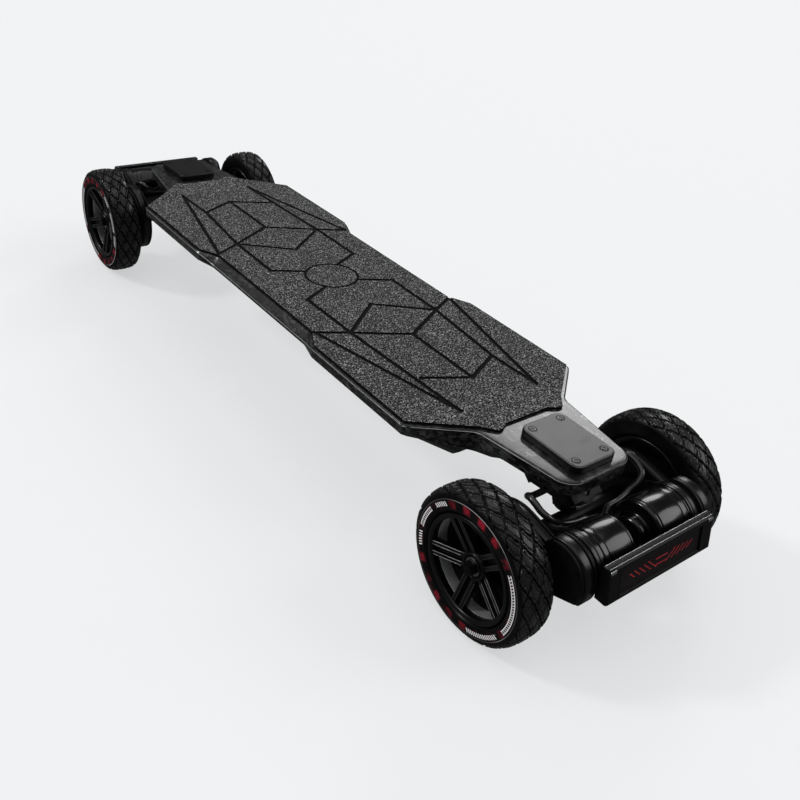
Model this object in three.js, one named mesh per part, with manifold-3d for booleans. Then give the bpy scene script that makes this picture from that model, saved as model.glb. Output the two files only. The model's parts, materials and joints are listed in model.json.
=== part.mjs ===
// Electric mountainboard with four driven wheels, in millimetres.
// +Z is up, +Y points along the board to its nose, +X is the rider's right.
// The origin lies on the ground, midway between the two axles.
import * as THREE from 'three';
import { mergeVertices } from 'three/addons/utils/BufferGeometryUtils.js';
import Module from 'manifold-3d';

const wasm = await Module();
wasm.setup();

// Clearances shared by all pieces
const seatGap = 0.3;
const overrun = 6;

// Facets of round pieces
const sides = { tyre: 32, hub: 28, boss: 18, bearing: 12, can: 24, shaft: 12, arc: 8, pin: 14, cable: 6 };

// Wheels
const wheel = {
  tyreRadius: 80, tyreWidth: 41, outerFaceX: 144.5,
  shoulderRadius: 75.5, shoulderInset: 2.2, crownInset: 7, crownDrop: 1.4,
  bandRadius: 70, beadBulge: 2.2,
  rimRadius: 56, barrelRadius: 51.5, lipRadius: 49.5, lipWidth: 4.5, rimInset: 0.8,
  bossRadius: 16, bossInnerX: 108, bossOuterX: 134,
  spokeCount: 5, ribSpread: 5.6, ribWidth: 4.2, ribDepth: 7.5, ribRootX: 129, ribTipX: 138.5,
  firstSpokeAngle: 0.848,
};
const bearing = { outerRadius: 11, width: 8 };
const axle = { radius: 5, endX: 141 };
const nut = { radius: 8.2, width: 6 };
const axleHeight = wheel.tyreRadius * Math.cos(Math.PI / sides.tyre);

// Contents of the enclosure, which fill a bay from tail to nose
const battery = { width: 148, length: 340, height: 20, edge: 4 };
const controller = { width: 130, length: 150, height: 17, edge: 3 };
const bay = { tailGap: 60, middleGap: 25, noseGap: 25, sideGap: 4, topGap: 2.7 };
const bayEndY = (bay.tailGap + battery.length + bay.middleGap + controller.length + bay.noseGap) / 2;
const batteryY = bay.tailGap + battery.length / 2 - bayEndY;
const controllerY = bayEndY - bay.noseGap - controller.length / 2;

// Deck, wide over the enclosure and drawn in to a neck over each truck
const deck = {
  topZ: 150.3, cornerRadius: 22, neckRise: 2.7,
  waistEndY: 116, flareLength: 29, wideMargin: 17, taperLength: 48, rootLength: 21, easeLength: 10, neckLength: 81,
  waistHalf: 104, wideHalf: 119, neckRootHalf: 61, neckStartHalf: 58, neckHalf: 56.4, neckEndHalf: 47.4,
  waistBevelRun: 8, waistBevelDrop: 9, edgeBevelRun: 1.4, edgeBevelDrop: 1.4,
  waistSide: 13.5, wideSide: 12.5, neckRootSide: 22, neckSide: 12.5,
  underInset: 20, neckUnderInset: 2, rootDepth: 23.5, coreDepth: 16, neckDepth: 13,
};
const wideStartY = deck.waistEndY + deck.flareLength;
const wideEndY = bayEndY + deck.wideMargin;
const neckRootY = wideEndY + deck.taperLength;
const neckStartY = neckRootY + deck.rootLength;
const seatStartY = neckStartY + deck.easeLength;
const deckEndY = seatStartY + deck.neckLength;
const neckTopZ = deck.topZ + deck.neckRise;
const neckUnderZ = deck.topZ - deck.neckDepth;

// Raised cover plates over the truck bolts
const plate = { width: 58, length: 81, height: 8.2, corner: 11, edge: 1, endGap: 8.5 };
const plateY = deckEndY - plate.endGap - plate.length / 2;

// Each axle lies inboard of the deck's end
const axleInset = 21;
const wheelbase = 2 * (deckEndY - axleInset);

// Grip sheet: two ears reach past its middle towards each cover plate
const grip = {
  thickness: 2.6, inset: 2.2, plateGap: 10.5, earDepth: 6, earTip: 6, earSlope: 10, earOuterHalf: 46, rootY: 3,
  grooveDepth: 1.4, grooveWidth: 5.2, ringRadius: 34.5, ringWidth: 3.4,
};
const gripEndY = plateY - plate.length / 2 - grip.plateGap;
// Places where the grooves of the grip meet, from the board's centre
const groove = {
  apexX: 55, apexY: 329, hexSideX: 52, hexSideY: 258, hexTopY: 284, hexBottomY: 176,
  kneeX: 64, kneeY: 139.5, edgeX: 101, edgeY: 120, chevronY: 90, flankX: 65, flankY: 46,
};

// Battery enclosure under the deck; its ends run on past the bay
const tub = { wall: 3, breakRise: 8, flare: 9, endHalf: 66, topEndRun: 54, breakEndRun: 47, bottomEndRun: 38 };
const tubTopZ = deck.topZ - deck.coreDepth - seatGap;
const tubBottomZ = tubTopZ - bay.topGap - Math.max(battery.height, controller.height) - seatGap - tub.wall;
const tubBreakZ = tubBottomZ + tub.breakRise;
const tubBottomHalf = Math.max(battery.width, controller.width) / 2 + bay.sideGap + tub.wall;
const tubTopHalf = tubBottomHalf + tub.flare;

// Power button in the upright part of the enclosure's wall
const button = { flange: 1.5, lip: 1.6, proud: 1.6, travel: 1.2, fromTailY: 68 };
const buttonFlangeShare = 0.44;
const uprightHeight = tubTopZ - tubBreakZ - tub.wall;
const buttonFlangeRadius = uprightHeight * buttonFlangeShare;
const buttonRadius = buttonFlangeRadius - button.lip;
const buttonY = button.fromTailY - bayEndY;
const buttonZ = tubTopZ - uprightHeight / 2;

// Double kingpin truck, seen from its axle with +Y outboard
const truck = {
  tilt: 0.7, innerY: -50, innerZ: 110, outerY: -14, outerZ: 96,
  eyeRadius: 12, eyeHalf: 7, lugRadius: 12.5, lugLength: 14, bushingLength: 10.4, bushingRadius: 11,
  bushingWaist: 1.5, pinRadius: 5, pinShort: 1.5, headRadius: 8, headLength: 5.5, armInnerX: 14, armWidth: 6, armHalf: 8,
  beamRadius: 12, plateWidth: 70, plateInnerY: -59, plateOuterY: 6, plateThickness: 6,
};

// Motors
const motor = {
  radius: 31.5, innerX: 17, capThickness: 3, cavityRadius: 25.5, noseRadius: 18, noseX: 5,
  rotorRadius: 24, rotorEndGap: 3, shaftRadius: 4, shaftPast: 0.7,
  grooveDepth: 0.8, grooveWidth: 1.6, grooveFromEnd: 3,
};

// Gear drives. Tooth sizes are shares of the tooth size, which is the pitch circle's diameter for each tooth.
const gear = { toothSize: 3, wheelTeeth: 29, pinionTeeth: 15, width: 9, wallGap: 1.1, sleeveRadius: 17 };
const toothTipShare = 0.85;
const toothFootShare = 1.2;
const toothFootWidthShare = 0.3;
const toothTipWidthShare = 0.13;
const centreDistance = (gear.wheelTeeth + gear.pinionTeeth) * gear.toothSize / 2;
const wheelGearTip = gear.toothSize * (gear.wheelTeeth / 2 + toothTipShare);
const pinionTip = gear.toothSize * (gear.pinionTeeth / 2 + toothTipShare);

// Motor mount and gear housing, stacked along X from the motor's face out to the wheel
const drive = {
  angle: 0.36, mountInnerX: 63.6, ringFlange: 1, ringWidth: 7.5, armRadius: 24, armWidth: 4.6,
  bossInset: 0.5, bossWidth: 4.9, backWidth: 2.6, housingWidth: 13.9, housingWall: 2.6,
  gearClearance: 1.35, motorFlange: 3, notchClearance: 0.95, sleeveClearance: 3, shaftClearance: 4,
};
const notchShare = 0.8;
const ringEndX = drive.mountInnerX + drive.ringWidth;
const bossEndX = ringEndX + drive.bossWidth;
const backEndX = bossEndX + drive.backWidth;
const housingInnerX = backEndX + seatGap;
const housingOuterX = housingInnerX + drive.housingWidth;
const gearInnerX = housingInnerX + gear.wallGap;
const housingAxleRadius = wheelGearTip + drive.gearClearance + drive.housingWall;
const housingMotorRadius = motor.radius + drive.motorFlange;
const driveMotor = {
  y: centreDistance * Math.cos(drive.angle),
  z: axleHeight + centreDistance * Math.sin(drive.angle),
};

// Guard bar outboard of the motors
const guard = {
  halfLength: 74, topThickness: 8.7, bottomThickness: 15.4, topRise: 26.1, bottomDrop: 11.9,
  chamfer: 2.2, panelHalf: 58, panelMargin: 5, panelDepth: 1.6,
};

// Motor cable, clipped from the neck past both motors; route from the axle centre
const cable = { radius: 3.5, pocketRadius: 13, pocketDepth: 9, pocketX: 32, pocketY: -6, steps: 48 };
const cableRoute = [
  [-32, -6, 138], [-34, -7.5, 131.5], [-46, -11, 125], [-56, -12, 124], [-65, -10, 129], [-69, -3, 133],
  [-70, 5, 132], [-70, 13, 129], [-67, 21, 125.5], [-59, 24, 119], [-50, 23, 113], [-42, 24, 110],
  [-30, 25.4, 108], [-18, 25.6, 107], [-8, 31, 106], [0, 36, 106],
  [8, 31, 106], [18, 25.6, 107], [30, 25.4, 108], [42, 24, 110], [50, 23, 113], [59, 24, 119],
  [67, 21, 125.5], [70, 13, 129], [70, 5, 132], [69, -3, 133], [65, -10, 129],
  [56, -12, 124], [46, -11, 125], [34, -7.5, 131.5], [32, -6, 138],
];

// Finishes
const finish = {
  carbon: [0x17181a, 0.28, 0.1], grip: [0x3a3b3d, 0.95, 0], casing: [0x101113, 0.5, 0.1],
  satin: [0x5e6064, 0.35, 0.85], black: [0x0d0e10, 0.25, 0.6], steel: [0x9a9da2, 0.3, 1],
  rubber: [0x2b2c2e, 0.85, 0], hub: [0x26282b, 0.45, 0.6], bush: [0x1a1b1d, 0.7, 0],
  cell: [0x23456b, 0.6, 0], board: [0x1f5136, 0.6, 0.1], cord: [0x0b0b0c, 0.6, 0], accent: [0x8c1019, 0.4, 0],
};

// Geometry helpers
function cleaned(geometry) {
  const bare = geometry.clone();
  for (const name of Object.keys(bare.attributes)) {
    if (name !== 'position') bare.deleteAttribute(name);
  }
  bare.clearGroups();
  const merged = mergeVertices(bare, 1e-4);
  const index = merged.getIndex().array;
  const kept = [];
  for (let i = 0; i < index.length; i += 3) {
    const [a, b, c] = [index[i], index[i + 1], index[i + 2]];
    if (a !== b && b !== c && c !== a) kept.push(a, b, c);
  }
  merged.setIndex(kept);
  return volumeOf(merged) < 0 ? flipped(merged) : merged;
}

function volumeOf(geometry) {
  const position = geometry.getAttribute('position');
  const index = geometry.getIndex().array;
  const [a, b, c] = [new THREE.Vector3(), new THREE.Vector3(), new THREE.Vector3()];
  let total = 0;
  for (let i = 0; i < index.length; i += 3) {
    a.fromBufferAttribute(position, index[i]);
    b.fromBufferAttribute(position, index[i + 1]);
    c.fromBufferAttribute(position, index[i + 2]);
    total += a.dot(b.cross(c)) / 6;
  }
  return total;
}

function flipped(geometry) {
  const index = Array.from(geometry.getIndex().array);
  for (let i = 0; i < index.length; i += 3) [index[i], index[i + 1]] = [index[i + 1], index[i]];
  geometry.setIndex(index);
  return geometry;
}

function solid(geometry) {
  const mesh = cleaned(geometry);
  return new wasm.Manifold(new wasm.Mesh({
    numProp: 3,
    vertProperties: new Float32Array(mesh.getAttribute('position').array),
    triVerts: new Uint32Array(mesh.getIndex().array),
  }));
}

function geometryOf(body) {
  const mesh = body.getMesh();
  const geometry = new THREE.BufferGeometry();
  geometry.setAttribute('position', new THREE.BufferAttribute(new Float32Array(mesh.vertProperties), 3));
  geometry.setIndex(Array.from(mesh.triVerts));
  return geometry;
}

function joined(...pieces) {
  return pieces.map(solid).reduce((whole, piece) => whole.add(piece));
}

function cutBy(body, ...tools) {
  return tools.map(solid).reduce((rest, tool) => rest.subtract(tool), body);
}

function mirrored(geometry) {
  return flipped(cleaned(geometry).scale(-1, 1, 1));
}

function box(x0, x1, y0, y1, z0, z1) {
  const geometry = new THREE.BoxGeometry(x1 - x0, y1 - y0, z1 - z0);
  return geometry.translate((x0 + x1) / 2, (y0 + y1) / 2, (z0 + z1) / 2);
}

function rod(radius, from, to, count) {
  const along = new THREE.Vector3().subVectors(to, from);
  const geometry = new THREE.CylinderGeometry(radius, radius, along.length(), count);
  geometry.rotateY(Math.PI / count);
  const turn = new THREE.Quaternion().setFromUnitVectors(new THREE.Vector3(0, 1, 0), along.clone().normalize());
  geometry.applyQuaternion(turn);
  return geometry.translate((from.x + to.x) / 2, (from.y + to.y) / 2, (from.z + to.z) / 2);
}

function rodX(radius, x0, x1, y, z, count) {
  return rod(radius, new THREE.Vector3(x0, y, z), new THREE.Vector3(x1, y, z), count);
}

// A ring or disc turned about the X axis at the axle; points are [radius, x].
function turned(points, count, y = 0, z = axleHeight) {
  const profile = points.map(([radius, x]) => new THREE.Vector2(radius, x));
  const geometry = new THREE.LatheGeometry(profile, count, Math.PI / count);
  geometry.rotateZ(-Math.PI / 2);
  return geometry.translate(0, y, z);
}

// A shape drawn in Y and Z, pushed along X.
function extrudedX(shape, x0, x1, curveSegments = sides.arc) {
  const geometry = new THREE.ExtrudeGeometry(shape, { depth: x1 - x0, bevelEnabled: false, curveSegments });
  const basis = new THREE.Matrix4().makeBasis(
    new THREE.Vector3(0, 1, 0), new THREE.Vector3(0, 0, 1), new THREE.Vector3(1, 0, 0));
  return geometry.applyMatrix4(basis).translate(x0, 0, 0);
}

function polygon(points) {
  return new THREE.Shape(points.map(([x, y]) => new THREE.Vector2(x, y)));
}

// A closed skin through rings of equal point count.
function lofted(rings) {
  const count = rings[0].length;
  const positions = rings.flat().flatMap((p) => [p.x, p.y, p.z]);
  const index = [];
  for (let r = 0; r + 1 < rings.length; r += 1) {
    for (let i = 0; i < count; i += 1) {
      const j = (i + 1) % count;
      const [a, b, c, d] = [r * count + i, r * count + j, (r + 1) * count + j, (r + 1) * count + i];
      index.push(a, b, c, a, c, d);
    }
  }
  const last = (rings.length - 1) * count;
  for (let i = 1; i + 1 < count; i += 1) {
    index.push(0, i + 1, i, last, last + i, last + i + 1);
  }
  const geometry = new THREE.BufferGeometry();
  geometry.setAttribute('position', new THREE.Float32BufferAttribute(positions, 3));
  geometry.setIndex(index);
  return geometry;
}

function material([color, roughness, metalness]) {
  return new THREE.MeshStandardMaterial({ color, roughness, metalness });
}

function piece(name, shape, look) {
  const geometry = shape instanceof wasm.Manifold ? geometryOf(shape) : cleaned(shape);
  geometry.computeVertexNormals();
  const mesh = new THREE.Mesh(geometry, material(look));
  mesh.name = name;
  return mesh;
}

// Deck shell: rings across the board, from tail to nose. The heights count from the middle's top.
function deckRing(s, lift = 0, grow = 0) {
  const sideHalf = s.half + s.run;
  const right = [
    [s.half, s.rise + lift], [sideHalf, s.rise + lift - s.drop], [sideHalf, -s.side - grow],
    [sideHalf - s.underInset, -s.depth - grow],
  ];
  const left = right.map(([x, z]) => [-x, z]).reverse();
  return [...right, ...left].map(([x, z]) => new THREE.Vector3(x, s.y, deck.topZ + z));
}

function deckEdge(y, half, rise, side, underInset, depth) {
  return { y, half, rise, run: deck.edgeBevelRun, drop: deck.edgeBevelDrop, side, underInset, depth };
}

function deckStations() {
  const d = deck;
  const waist = {
    y: d.waistEndY, half: d.waistHalf, rise: 0, run: d.waistBevelRun, drop: d.waistBevelDrop,
    side: d.waistSide, underInset: d.underInset, depth: d.coreDepth,
  };
  const stations = [
    waist,
    deckEdge(wideStartY, d.wideHalf, 0, d.wideSide, d.underInset, d.coreDepth),
    deckEdge(wideEndY, d.wideHalf, 0, d.wideSide, d.underInset, d.coreDepth),
    deckEdge(neckRootY, d.neckRootHalf, d.neckRise, d.neckRootSide, d.neckUnderInset, d.rootDepth),
    deckEdge(neckStartY, d.neckStartHalf, d.neckRise, (d.neckRootSide + d.neckSide) / 2, d.neckUnderInset,
      (d.rootDepth + d.neckDepth) / 2),
    deckEdge(seatStartY, d.neckHalf, d.neckRise, d.neckSide, d.neckUnderInset, d.neckDepth),
  ];
  const cornerSteps = 4;
  for (let i = 0; i <= cornerSteps; i += 1) {
    const turn = (i / cornerSteps) * Math.PI / 2;
    const y = deckEndY - d.cornerRadius * (1 - Math.sin(turn));
    const half = d.neckEndHalf - d.cornerRadius * (1 - Math.cos(turn));
    stations.push(deckEdge(y, half, d.neckRise, d.neckSide, d.neckUnderInset, d.neckDepth));
  }
  return stations;
}

function deckRings(lift = 0, grow = 0) {
  const half = deckStations();
  const all = [...half.map((s) => ({ ...s, y: -s.y })).reverse(), ...half];
  return lofted(all.map((s) => deckRing(s, lift, grow)));
}

function deckShell() {
  const pockets = [];
  for (const end of [-1, 1]) {
    for (const side of [-1, 1]) {
      const x = side * cable.pocketX;
      const y = end * (wheelbase / 2 + cable.pocketY);
      const ceiling = neckUnderZ + cable.pocketDepth;
      pockets.push(rod(cable.pocketRadius, new THREE.Vector3(x, y, neckUnderZ - overrun),
        new THREE.Vector3(x, y, ceiling), sides.pin));
    }
  }
  return cutBy(solid(deckRings()), ...pockets);
}

// Grip sheet: the deck's outline drawn in, with shallow grooves
function gripOutline() {
  const inset = grip.inset;
  const earInner = grip.earOuterHalf - grip.earTip;
  const quarter = [
    [deck.waistHalf - inset, deck.waistEndY], [deck.wideHalf - inset, wideStartY],
    [deck.wideHalf - inset, wideEndY - inset], [deck.neckRootHalf - inset, neckRootY - grip.rootY],
    [grip.earOuterHalf, gripEndY], [earInner, gripEndY], [earInner - grip.earSlope, gripEndY - grip.earDepth],
  ];
  const right = [...quarter.map(([x, y]) => [x, -y]).reverse(), ...quarter];
  const left = right.map(([x, y]) => [-x, y]).reverse();
  return polygon([...right, ...left]);
}

function grooveLines() {
  const g = groove;
  const apexLeft = [-g.apexX, g.apexY];
  const apexRight = [g.apexX, g.apexY];
  const hexSide = [-g.hexSideX, g.hexSideY];
  const hexTop = [0, g.hexTopY];
  const hexBottom = [0, g.hexBottomY];
  const kneeLeft = [-g.kneeX, g.kneeY];
  const kneeRight = [g.kneeX, g.kneeY];
  const edgeLeft = [-g.edgeX, g.edgeY];
  const edgeRight = [g.edgeX, g.edgeY];
  const chevron = [0, g.chevronY];
  const flankRight = [g.flankX, g.flankY];
  const flankLeft = [-g.flankX, g.flankY];
  const ringRight = [grip.ringRadius * Math.SQRT1_2, grip.ringRadius * Math.SQRT1_2];
  const ringLeft = [-grip.ringRadius * Math.SQRT1_2, grip.ringRadius * Math.SQRT1_2];
  const nose = [
    [apexLeft, edgeLeft], [apexLeft, hexSide], [hexSide, kneeLeft], [kneeLeft, edgeLeft],
    [apexRight, edgeRight], [apexRight, kneeRight],
    [hexSide, hexTop], [hexTop, hexBottom], [hexBottom, kneeLeft], [hexTop, [g.hexSideX, g.hexSideY]],
    [hexBottom, kneeRight], [kneeRight, edgeRight],
    [kneeLeft, chevron], [chevron, kneeRight],
    [kneeRight, flankRight], [flankRight, ringRight], [kneeLeft, flankLeft], [flankLeft, ringLeft],
  ];
  const tail = nose.map(([a, b]) => [[-a[0], -a[1]], [-b[0], -b[1]]]);
  return [...nose, ...tail];
}

function grooveBar([a, b], z0, z1) {
  const from = new THREE.Vector2(...a);
  const to = new THREE.Vector2(...b);
  const length = from.distanceTo(to) + grip.grooveWidth;
  const bar = box(-length / 2, length / 2, -grip.grooveWidth / 2, grip.grooveWidth / 2, z0, z1);
  bar.rotateZ(Math.atan2(to.y - from.y, to.x - from.x));
  return bar.translate((from.x + to.x) / 2, (from.y + to.y) / 2, 0);
}

// The sheet lies along the deck's top, also where the deck rises to its necks
function gripSheet() {
  const top = seatGap + grip.thickness;
  const depth = top + deck.neckRise + overrun;
  const prism = new THREE.ExtrudeGeometry(gripOutline(), { depth, bevelEnabled: false });
  const sheet = solid(prism.translate(0, 0, deck.topZ)).intersect(solid(deckRings(top)));
  const floor = deck.topZ + top - grip.grooveDepth;
  const ring = new THREE.Shape().absarc(0, 0, grip.ringRadius + grip.ringWidth / 2, 0, 2 * Math.PI);
  ring.holes.push(new THREE.Path().absarc(0, 0, grip.ringRadius - grip.ringWidth / 2, 0, 2 * Math.PI));
  const ringCut = new THREE.ExtrudeGeometry(ring, { depth: overrun, bevelEnabled: false, curveSegments: sides.boss });
  const bars = grooveLines().map((line) => grooveBar(line, floor, floor + grip.grooveDepth + overrun));
  return cutBy(sheet, deckRings(seatGap), ringCut.translate(0, 0, floor), ...bars);
}

// Enclosure: an open tray whose floor and ends are drawn in
function tubRing(z, half, endRun, inset) {
  const straight = bayEndY;
  const endY = bayEndY + endRun;
  const corners = [
    [half - inset, -straight], [half - inset, straight], [tub.endHalf - inset, endY - inset],
    [inset - tub.endHalf, endY - inset], [inset - half, straight], [inset - half, -straight],
    [inset - tub.endHalf, inset - endY], [tub.endHalf - inset, inset - endY],
  ];
  return corners.map(([x, y]) => new THREE.Vector3(x, y, z));
}

function enclosureTub() {
  const outer = lofted([
    tubRing(tubBottomZ, tubBottomHalf, tub.bottomEndRun, 0),
    tubRing(tubBreakZ, tubTopHalf, tub.breakEndRun, 0),
    tubRing(tubTopZ, tubTopHalf, tub.topEndRun, 0),
  ]);
  const inner = lofted([
    tubRing(tubBottomZ + tub.wall, tubBottomHalf, tub.bottomEndRun, tub.wall),
    tubRing(tubBreakZ + tub.wall, tubTopHalf, tub.breakEndRun, tub.wall),
    tubRing(tubTopZ + overrun, tubTopHalf, tub.topEndRun, tub.wall),
  ]);
  const hole = rodX(buttonRadius + seatGap, tubTopHalf - tub.wall - overrun, tubTopHalf + overrun,
    buttonY, buttonZ, sides.boss);
  return cutBy(solid(outer), inner, hole, deckRings(0, seatGap));
}

function packBox(size, centreY) {
  const floor = tubBottomZ + tub.wall + seatGap;
  const half = size.width / 2;
  const shape = polygon([
    [-half + size.edge, floor], [half - size.edge, floor], [half, floor + size.edge],
    [half, floor + size.height], [-half, floor + size.height], [-half, floor + size.edge],
  ]);
  const block = new THREE.ExtrudeGeometry(shape, { depth: size.length, bevelEnabled: false });
  return block.rotateX(Math.PI / 2).translate(0, centreY + size.length / 2, 0);
}

function powerButton() {
  const inside = tubTopHalf - tub.wall - seatGap;
  const face = tubTopHalf + button.proud;
  return joined(
    rodX(buttonRadius, inside - button.flange, face, buttonY, buttonZ, sides.boss),
    rodX(buttonFlangeRadius, inside - button.travel - button.flange, inside - button.travel, buttonY, buttonZ,
      sides.boss),
  );
}

// Cover plates stand on the deck's neck
function coverPlate(end) {
  const half = plate.width / 2 - plate.edge;
  const long = plate.length / 2 - plate.edge;
  const r = plate.corner - plate.edge;
  const shape = new THREE.Shape();
  shape.absarc(half - r, long - r, r, 0, Math.PI / 2);
  shape.absarc(r - half, long - r, r, Math.PI / 2, Math.PI);
  shape.absarc(r - half, r - long, r, Math.PI, 1.5 * Math.PI);
  shape.absarc(half - r, r - long, r, 1.5 * Math.PI, 2 * Math.PI);
  const block = new THREE.ExtrudeGeometry(shape, {
    depth: plate.height - 2 * plate.edge, bevelEnabled: true, bevelThickness: plate.edge, bevelSize: plate.edge,
    bevelSegments: 1, curveSegments: 4,
  });
  return block.translate(0, end * plateY, neckTopZ + seatGap + plate.edge);
}

// Directions and places on a kingpin of the truck at the nose
const pinWay = new THREE.Vector3(0, Math.sin(truck.tilt), Math.cos(truck.tilt));
const innerPin = new THREE.Vector3(0, truck.innerY, truck.innerZ);
const outerPin = new THREE.Vector3(0, truck.outerY, truck.outerZ);
const bushingStart = truck.eyeHalf + seatGap;
const lugStart = bushingStart + truck.bushingLength + seatGap;
const lugEnd = lugStart + truck.lugLength;

function alongPin(centre, distance) {
  return centre.clone().addScaledVector(pinWay, distance);
}

function pinRod(centre, radius, from, to, count = sides.pin) {
  return rod(radius, alongPin(centre, from), alongPin(centre, to), count);
}

// A block square to the kingpin, reaching from the pin to the yoke's arms
function pinBlock(centre, from, to) {
  const reach = truck.armInnerX + truck.armWidth;
  const block = box(-reach, reach, -truck.armHalf, truck.armHalf, from, to);
  return block.rotateX(-truck.tilt).translate(0, centre.y, centre.z);
}

function truckBaseplate() {
  const seat = neckUnderZ - seatGap;
  const half = truck.plateWidth / 2;
  const plateBlock = box(-half, half, truck.plateInnerY, truck.plateOuterY, seat - truck.plateThickness, seat);
  const lug = pinRod(innerPin, truck.lugRadius, lugStart, lugEnd + overrun);
  const above = box(-half, half, truck.plateInnerY, truck.plateOuterY + overrun, seat, seat + overrun + overrun);
  const pinHole = pinRod(innerPin, truck.pinRadius + seatGap, lugStart - overrun, lugEnd);
  const corners = [];
  for (const side of [-1, 1]) {
    const x = side * cable.pocketX;
    corners.push(rod(cable.pocketRadius, new THREE.Vector3(x, cable.pocketY, seat - truck.plateThickness - overrun),
      new THREE.Vector3(x, cable.pocketY, seat + overrun), sides.pin));
  }
  return cutBy(joined(plateBlock, lug), above, pinHole, ...corners);
}

function truckYoke() {
  const arms = [];
  const from = innerPin.clone();
  const to = alongPin(outerPin, (lugStart + lugEnd) / 2);
  const reach = new THREE.Vector3().subVectors(to, from);
  const slope = Math.atan2(reach.z, reach.y);
  for (const side of [-1, 1]) {
    const arm = box(-truck.armWidth / 2, truck.armWidth / 2, 0, reach.length(), -truck.armHalf, truck.armHalf);
    arm.rotateX(slope);
    arms.push(arm.translate(side * (truck.armInnerX + truck.armWidth / 2), from.y, from.z));
  }
  const whole = joined(
    pinRod(innerPin, truck.eyeRadius, -truck.eyeHalf, truck.eyeHalf),
    pinBlock(innerPin, -truck.eyeHalf, truck.eyeHalf),
    pinRod(outerPin, truck.lugRadius, lugStart, lugEnd),
    pinBlock(outerPin, lugStart, lugEnd),
    ...arms,
  );
  return cutBy(whole,
    pinRod(innerPin, truck.pinRadius + seatGap, -truck.eyeHalf - overrun, truck.eyeHalf + overrun),
    pinRod(outerPin, truck.pinRadius + seatGap, lugStart - overrun, lugEnd + overrun));
}

// Turns a shape drawn along and across the line from axle to motor into its place.
function placedOnDrive(shape, x0, x1) {
  const block = new THREE.ExtrudeGeometry(shape, { depth: x1 - x0, bevelEnabled: false, curveSegments: sides.arc });
  const way = new THREE.Vector3(0, Math.cos(drive.angle), Math.sin(drive.angle));
  const across = new THREE.Vector3(0, -Math.sin(drive.angle), Math.cos(drive.angle));
  const basis = new THREE.Matrix4().makeBasis(way, across, new THREE.Vector3(1, 0, 0));
  return block.applyMatrix4(basis).translate(x0, 0, axleHeight);
}

// The housing's outline: round the wheel gear, down a tangent to a notch, round the motor, and flat below
function housingShape(inset) {
  const big = housingAxleRadius - inset;
  const small = housingMotorRadius - inset;
  const flat = pinionTip + seatGap + drive.housingWall - inset;
  const notchAlong = centreDistance * notchShare;
  const notchAcross = pinionTip + drive.notchClearance;
  const touch = Math.atan2(notchAcross, notchAlong)
    + Math.acos(housingAxleRadius / Math.hypot(notchAlong, notchAcross));
  const shape = new THREE.Shape();
  shape.absarc(centreDistance, 0, small, -Math.asin(flat / small), Math.PI / 2);
  shape.lineTo(notchAlong, notchAcross - inset / Math.sin(touch));
  shape.absarc(0, 0, big, touch, 2 * Math.PI - Math.asin(flat / big));
  return shape;
}

// The mount's arm: a belt round the beam and the motor, just inside the ring
function armShape() {
  const big = motor.radius;
  const open = Math.acos((big - drive.armRadius) / centreDistance);
  const shape = new THREE.Shape();
  shape.absarc(centreDistance, 0, big, open - Math.PI, Math.PI - open);
  shape.absarc(0, 0, drive.armRadius, Math.PI - open, open + Math.PI);
  return shape;
}

// One end of the hanger: ring and arm behind the motor's face, a boss, and the back of the gear housing
function motorMount() {
  const ring = motor.radius + drive.ringFlange;
  const { y, z } = driveMotor;
  return [
    rodX(ring, drive.mountInnerX, ringEndX, y, z, sides.can),
    placedOnDrive(armShape(), ringEndX - drive.armWidth, ringEndX),
    rodX(motor.radius - drive.bossInset, ringEndX - drive.armWidth, backEndX - drive.backWidth / 2, y, z, sides.can),
    placedOnDrive(housingShape(0), bossEndX, backEndX),
  ];
}

function truckHanger() {
  const mounts = motorMount();
  const whole = joined(
    pinRod(outerPin, truck.eyeRadius, -truck.eyeHalf, truck.eyeHalf),
    rodX(truck.beamRadius, -backEndX, backEndX, 0, axleHeight, sides.can),
    ...mounts,
    ...mounts.map(mirrored),
  );
  const reach = backEndX + overrun;
  const shaftHoles = [-1, 1].map((side) => rodX(motor.shaftRadius + drive.shaftClearance,
    Math.min(side * motor.innerX, side * reach), Math.max(side * motor.innerX, side * reach),
    driveMotor.y, driveMotor.z, sides.pin));
  return cutBy(whole,
    pinRod(outerPin, truck.pinRadius + seatGap, -truck.eyeHalf - overrun, truck.eyeHalf + overrun),
    pinRod(outerPin, truck.headRadius + 2 * seatGap, -truck.eyeHalf - truck.headLength - overrun, -truck.eyeHalf),
    rodX(axle.radius + seatGap, -reach, reach, 0, axleHeight, sides.shaft),
    ...shaftHoles);
}

function kingpin(centre) {
  const head = truck.eyeHalf + seatGap;
  return joined(
    pinRod(centre, truck.pinRadius, -head - truck.headLength, lugEnd - truck.pinShort, sides.shaft),
    pinRod(centre, truck.headRadius, -head - truck.headLength, -head, 6),
  );
}

function bushing(centre) {
  const r = truck.bushingRadius;
  const bore = truck.pinRadius + seatGap;
  const middle = truck.bushingLength / 2;
  const profile = [[bore, 0], [r, 0], [r - truck.bushingWaist, middle], [r, truck.bushingLength],
    [bore, truck.bushingLength], [bore, 0]];
  const barrel = new THREE.LatheGeometry(profile.map(([x, y]) => new THREE.Vector2(x, y)), sides.pin);
  const turn = new THREE.Quaternion().setFromUnitVectors(new THREE.Vector3(0, 1, 0), pinWay);
  const place = alongPin(centre, bushingStart);
  return barrel.applyQuaternion(turn).translate(place.x, place.y, place.z);
}

function truckAxle() {
  return rodX(axle.radius, -axle.endX, axle.endX, 0, axleHeight, sides.shaft);
}

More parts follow.
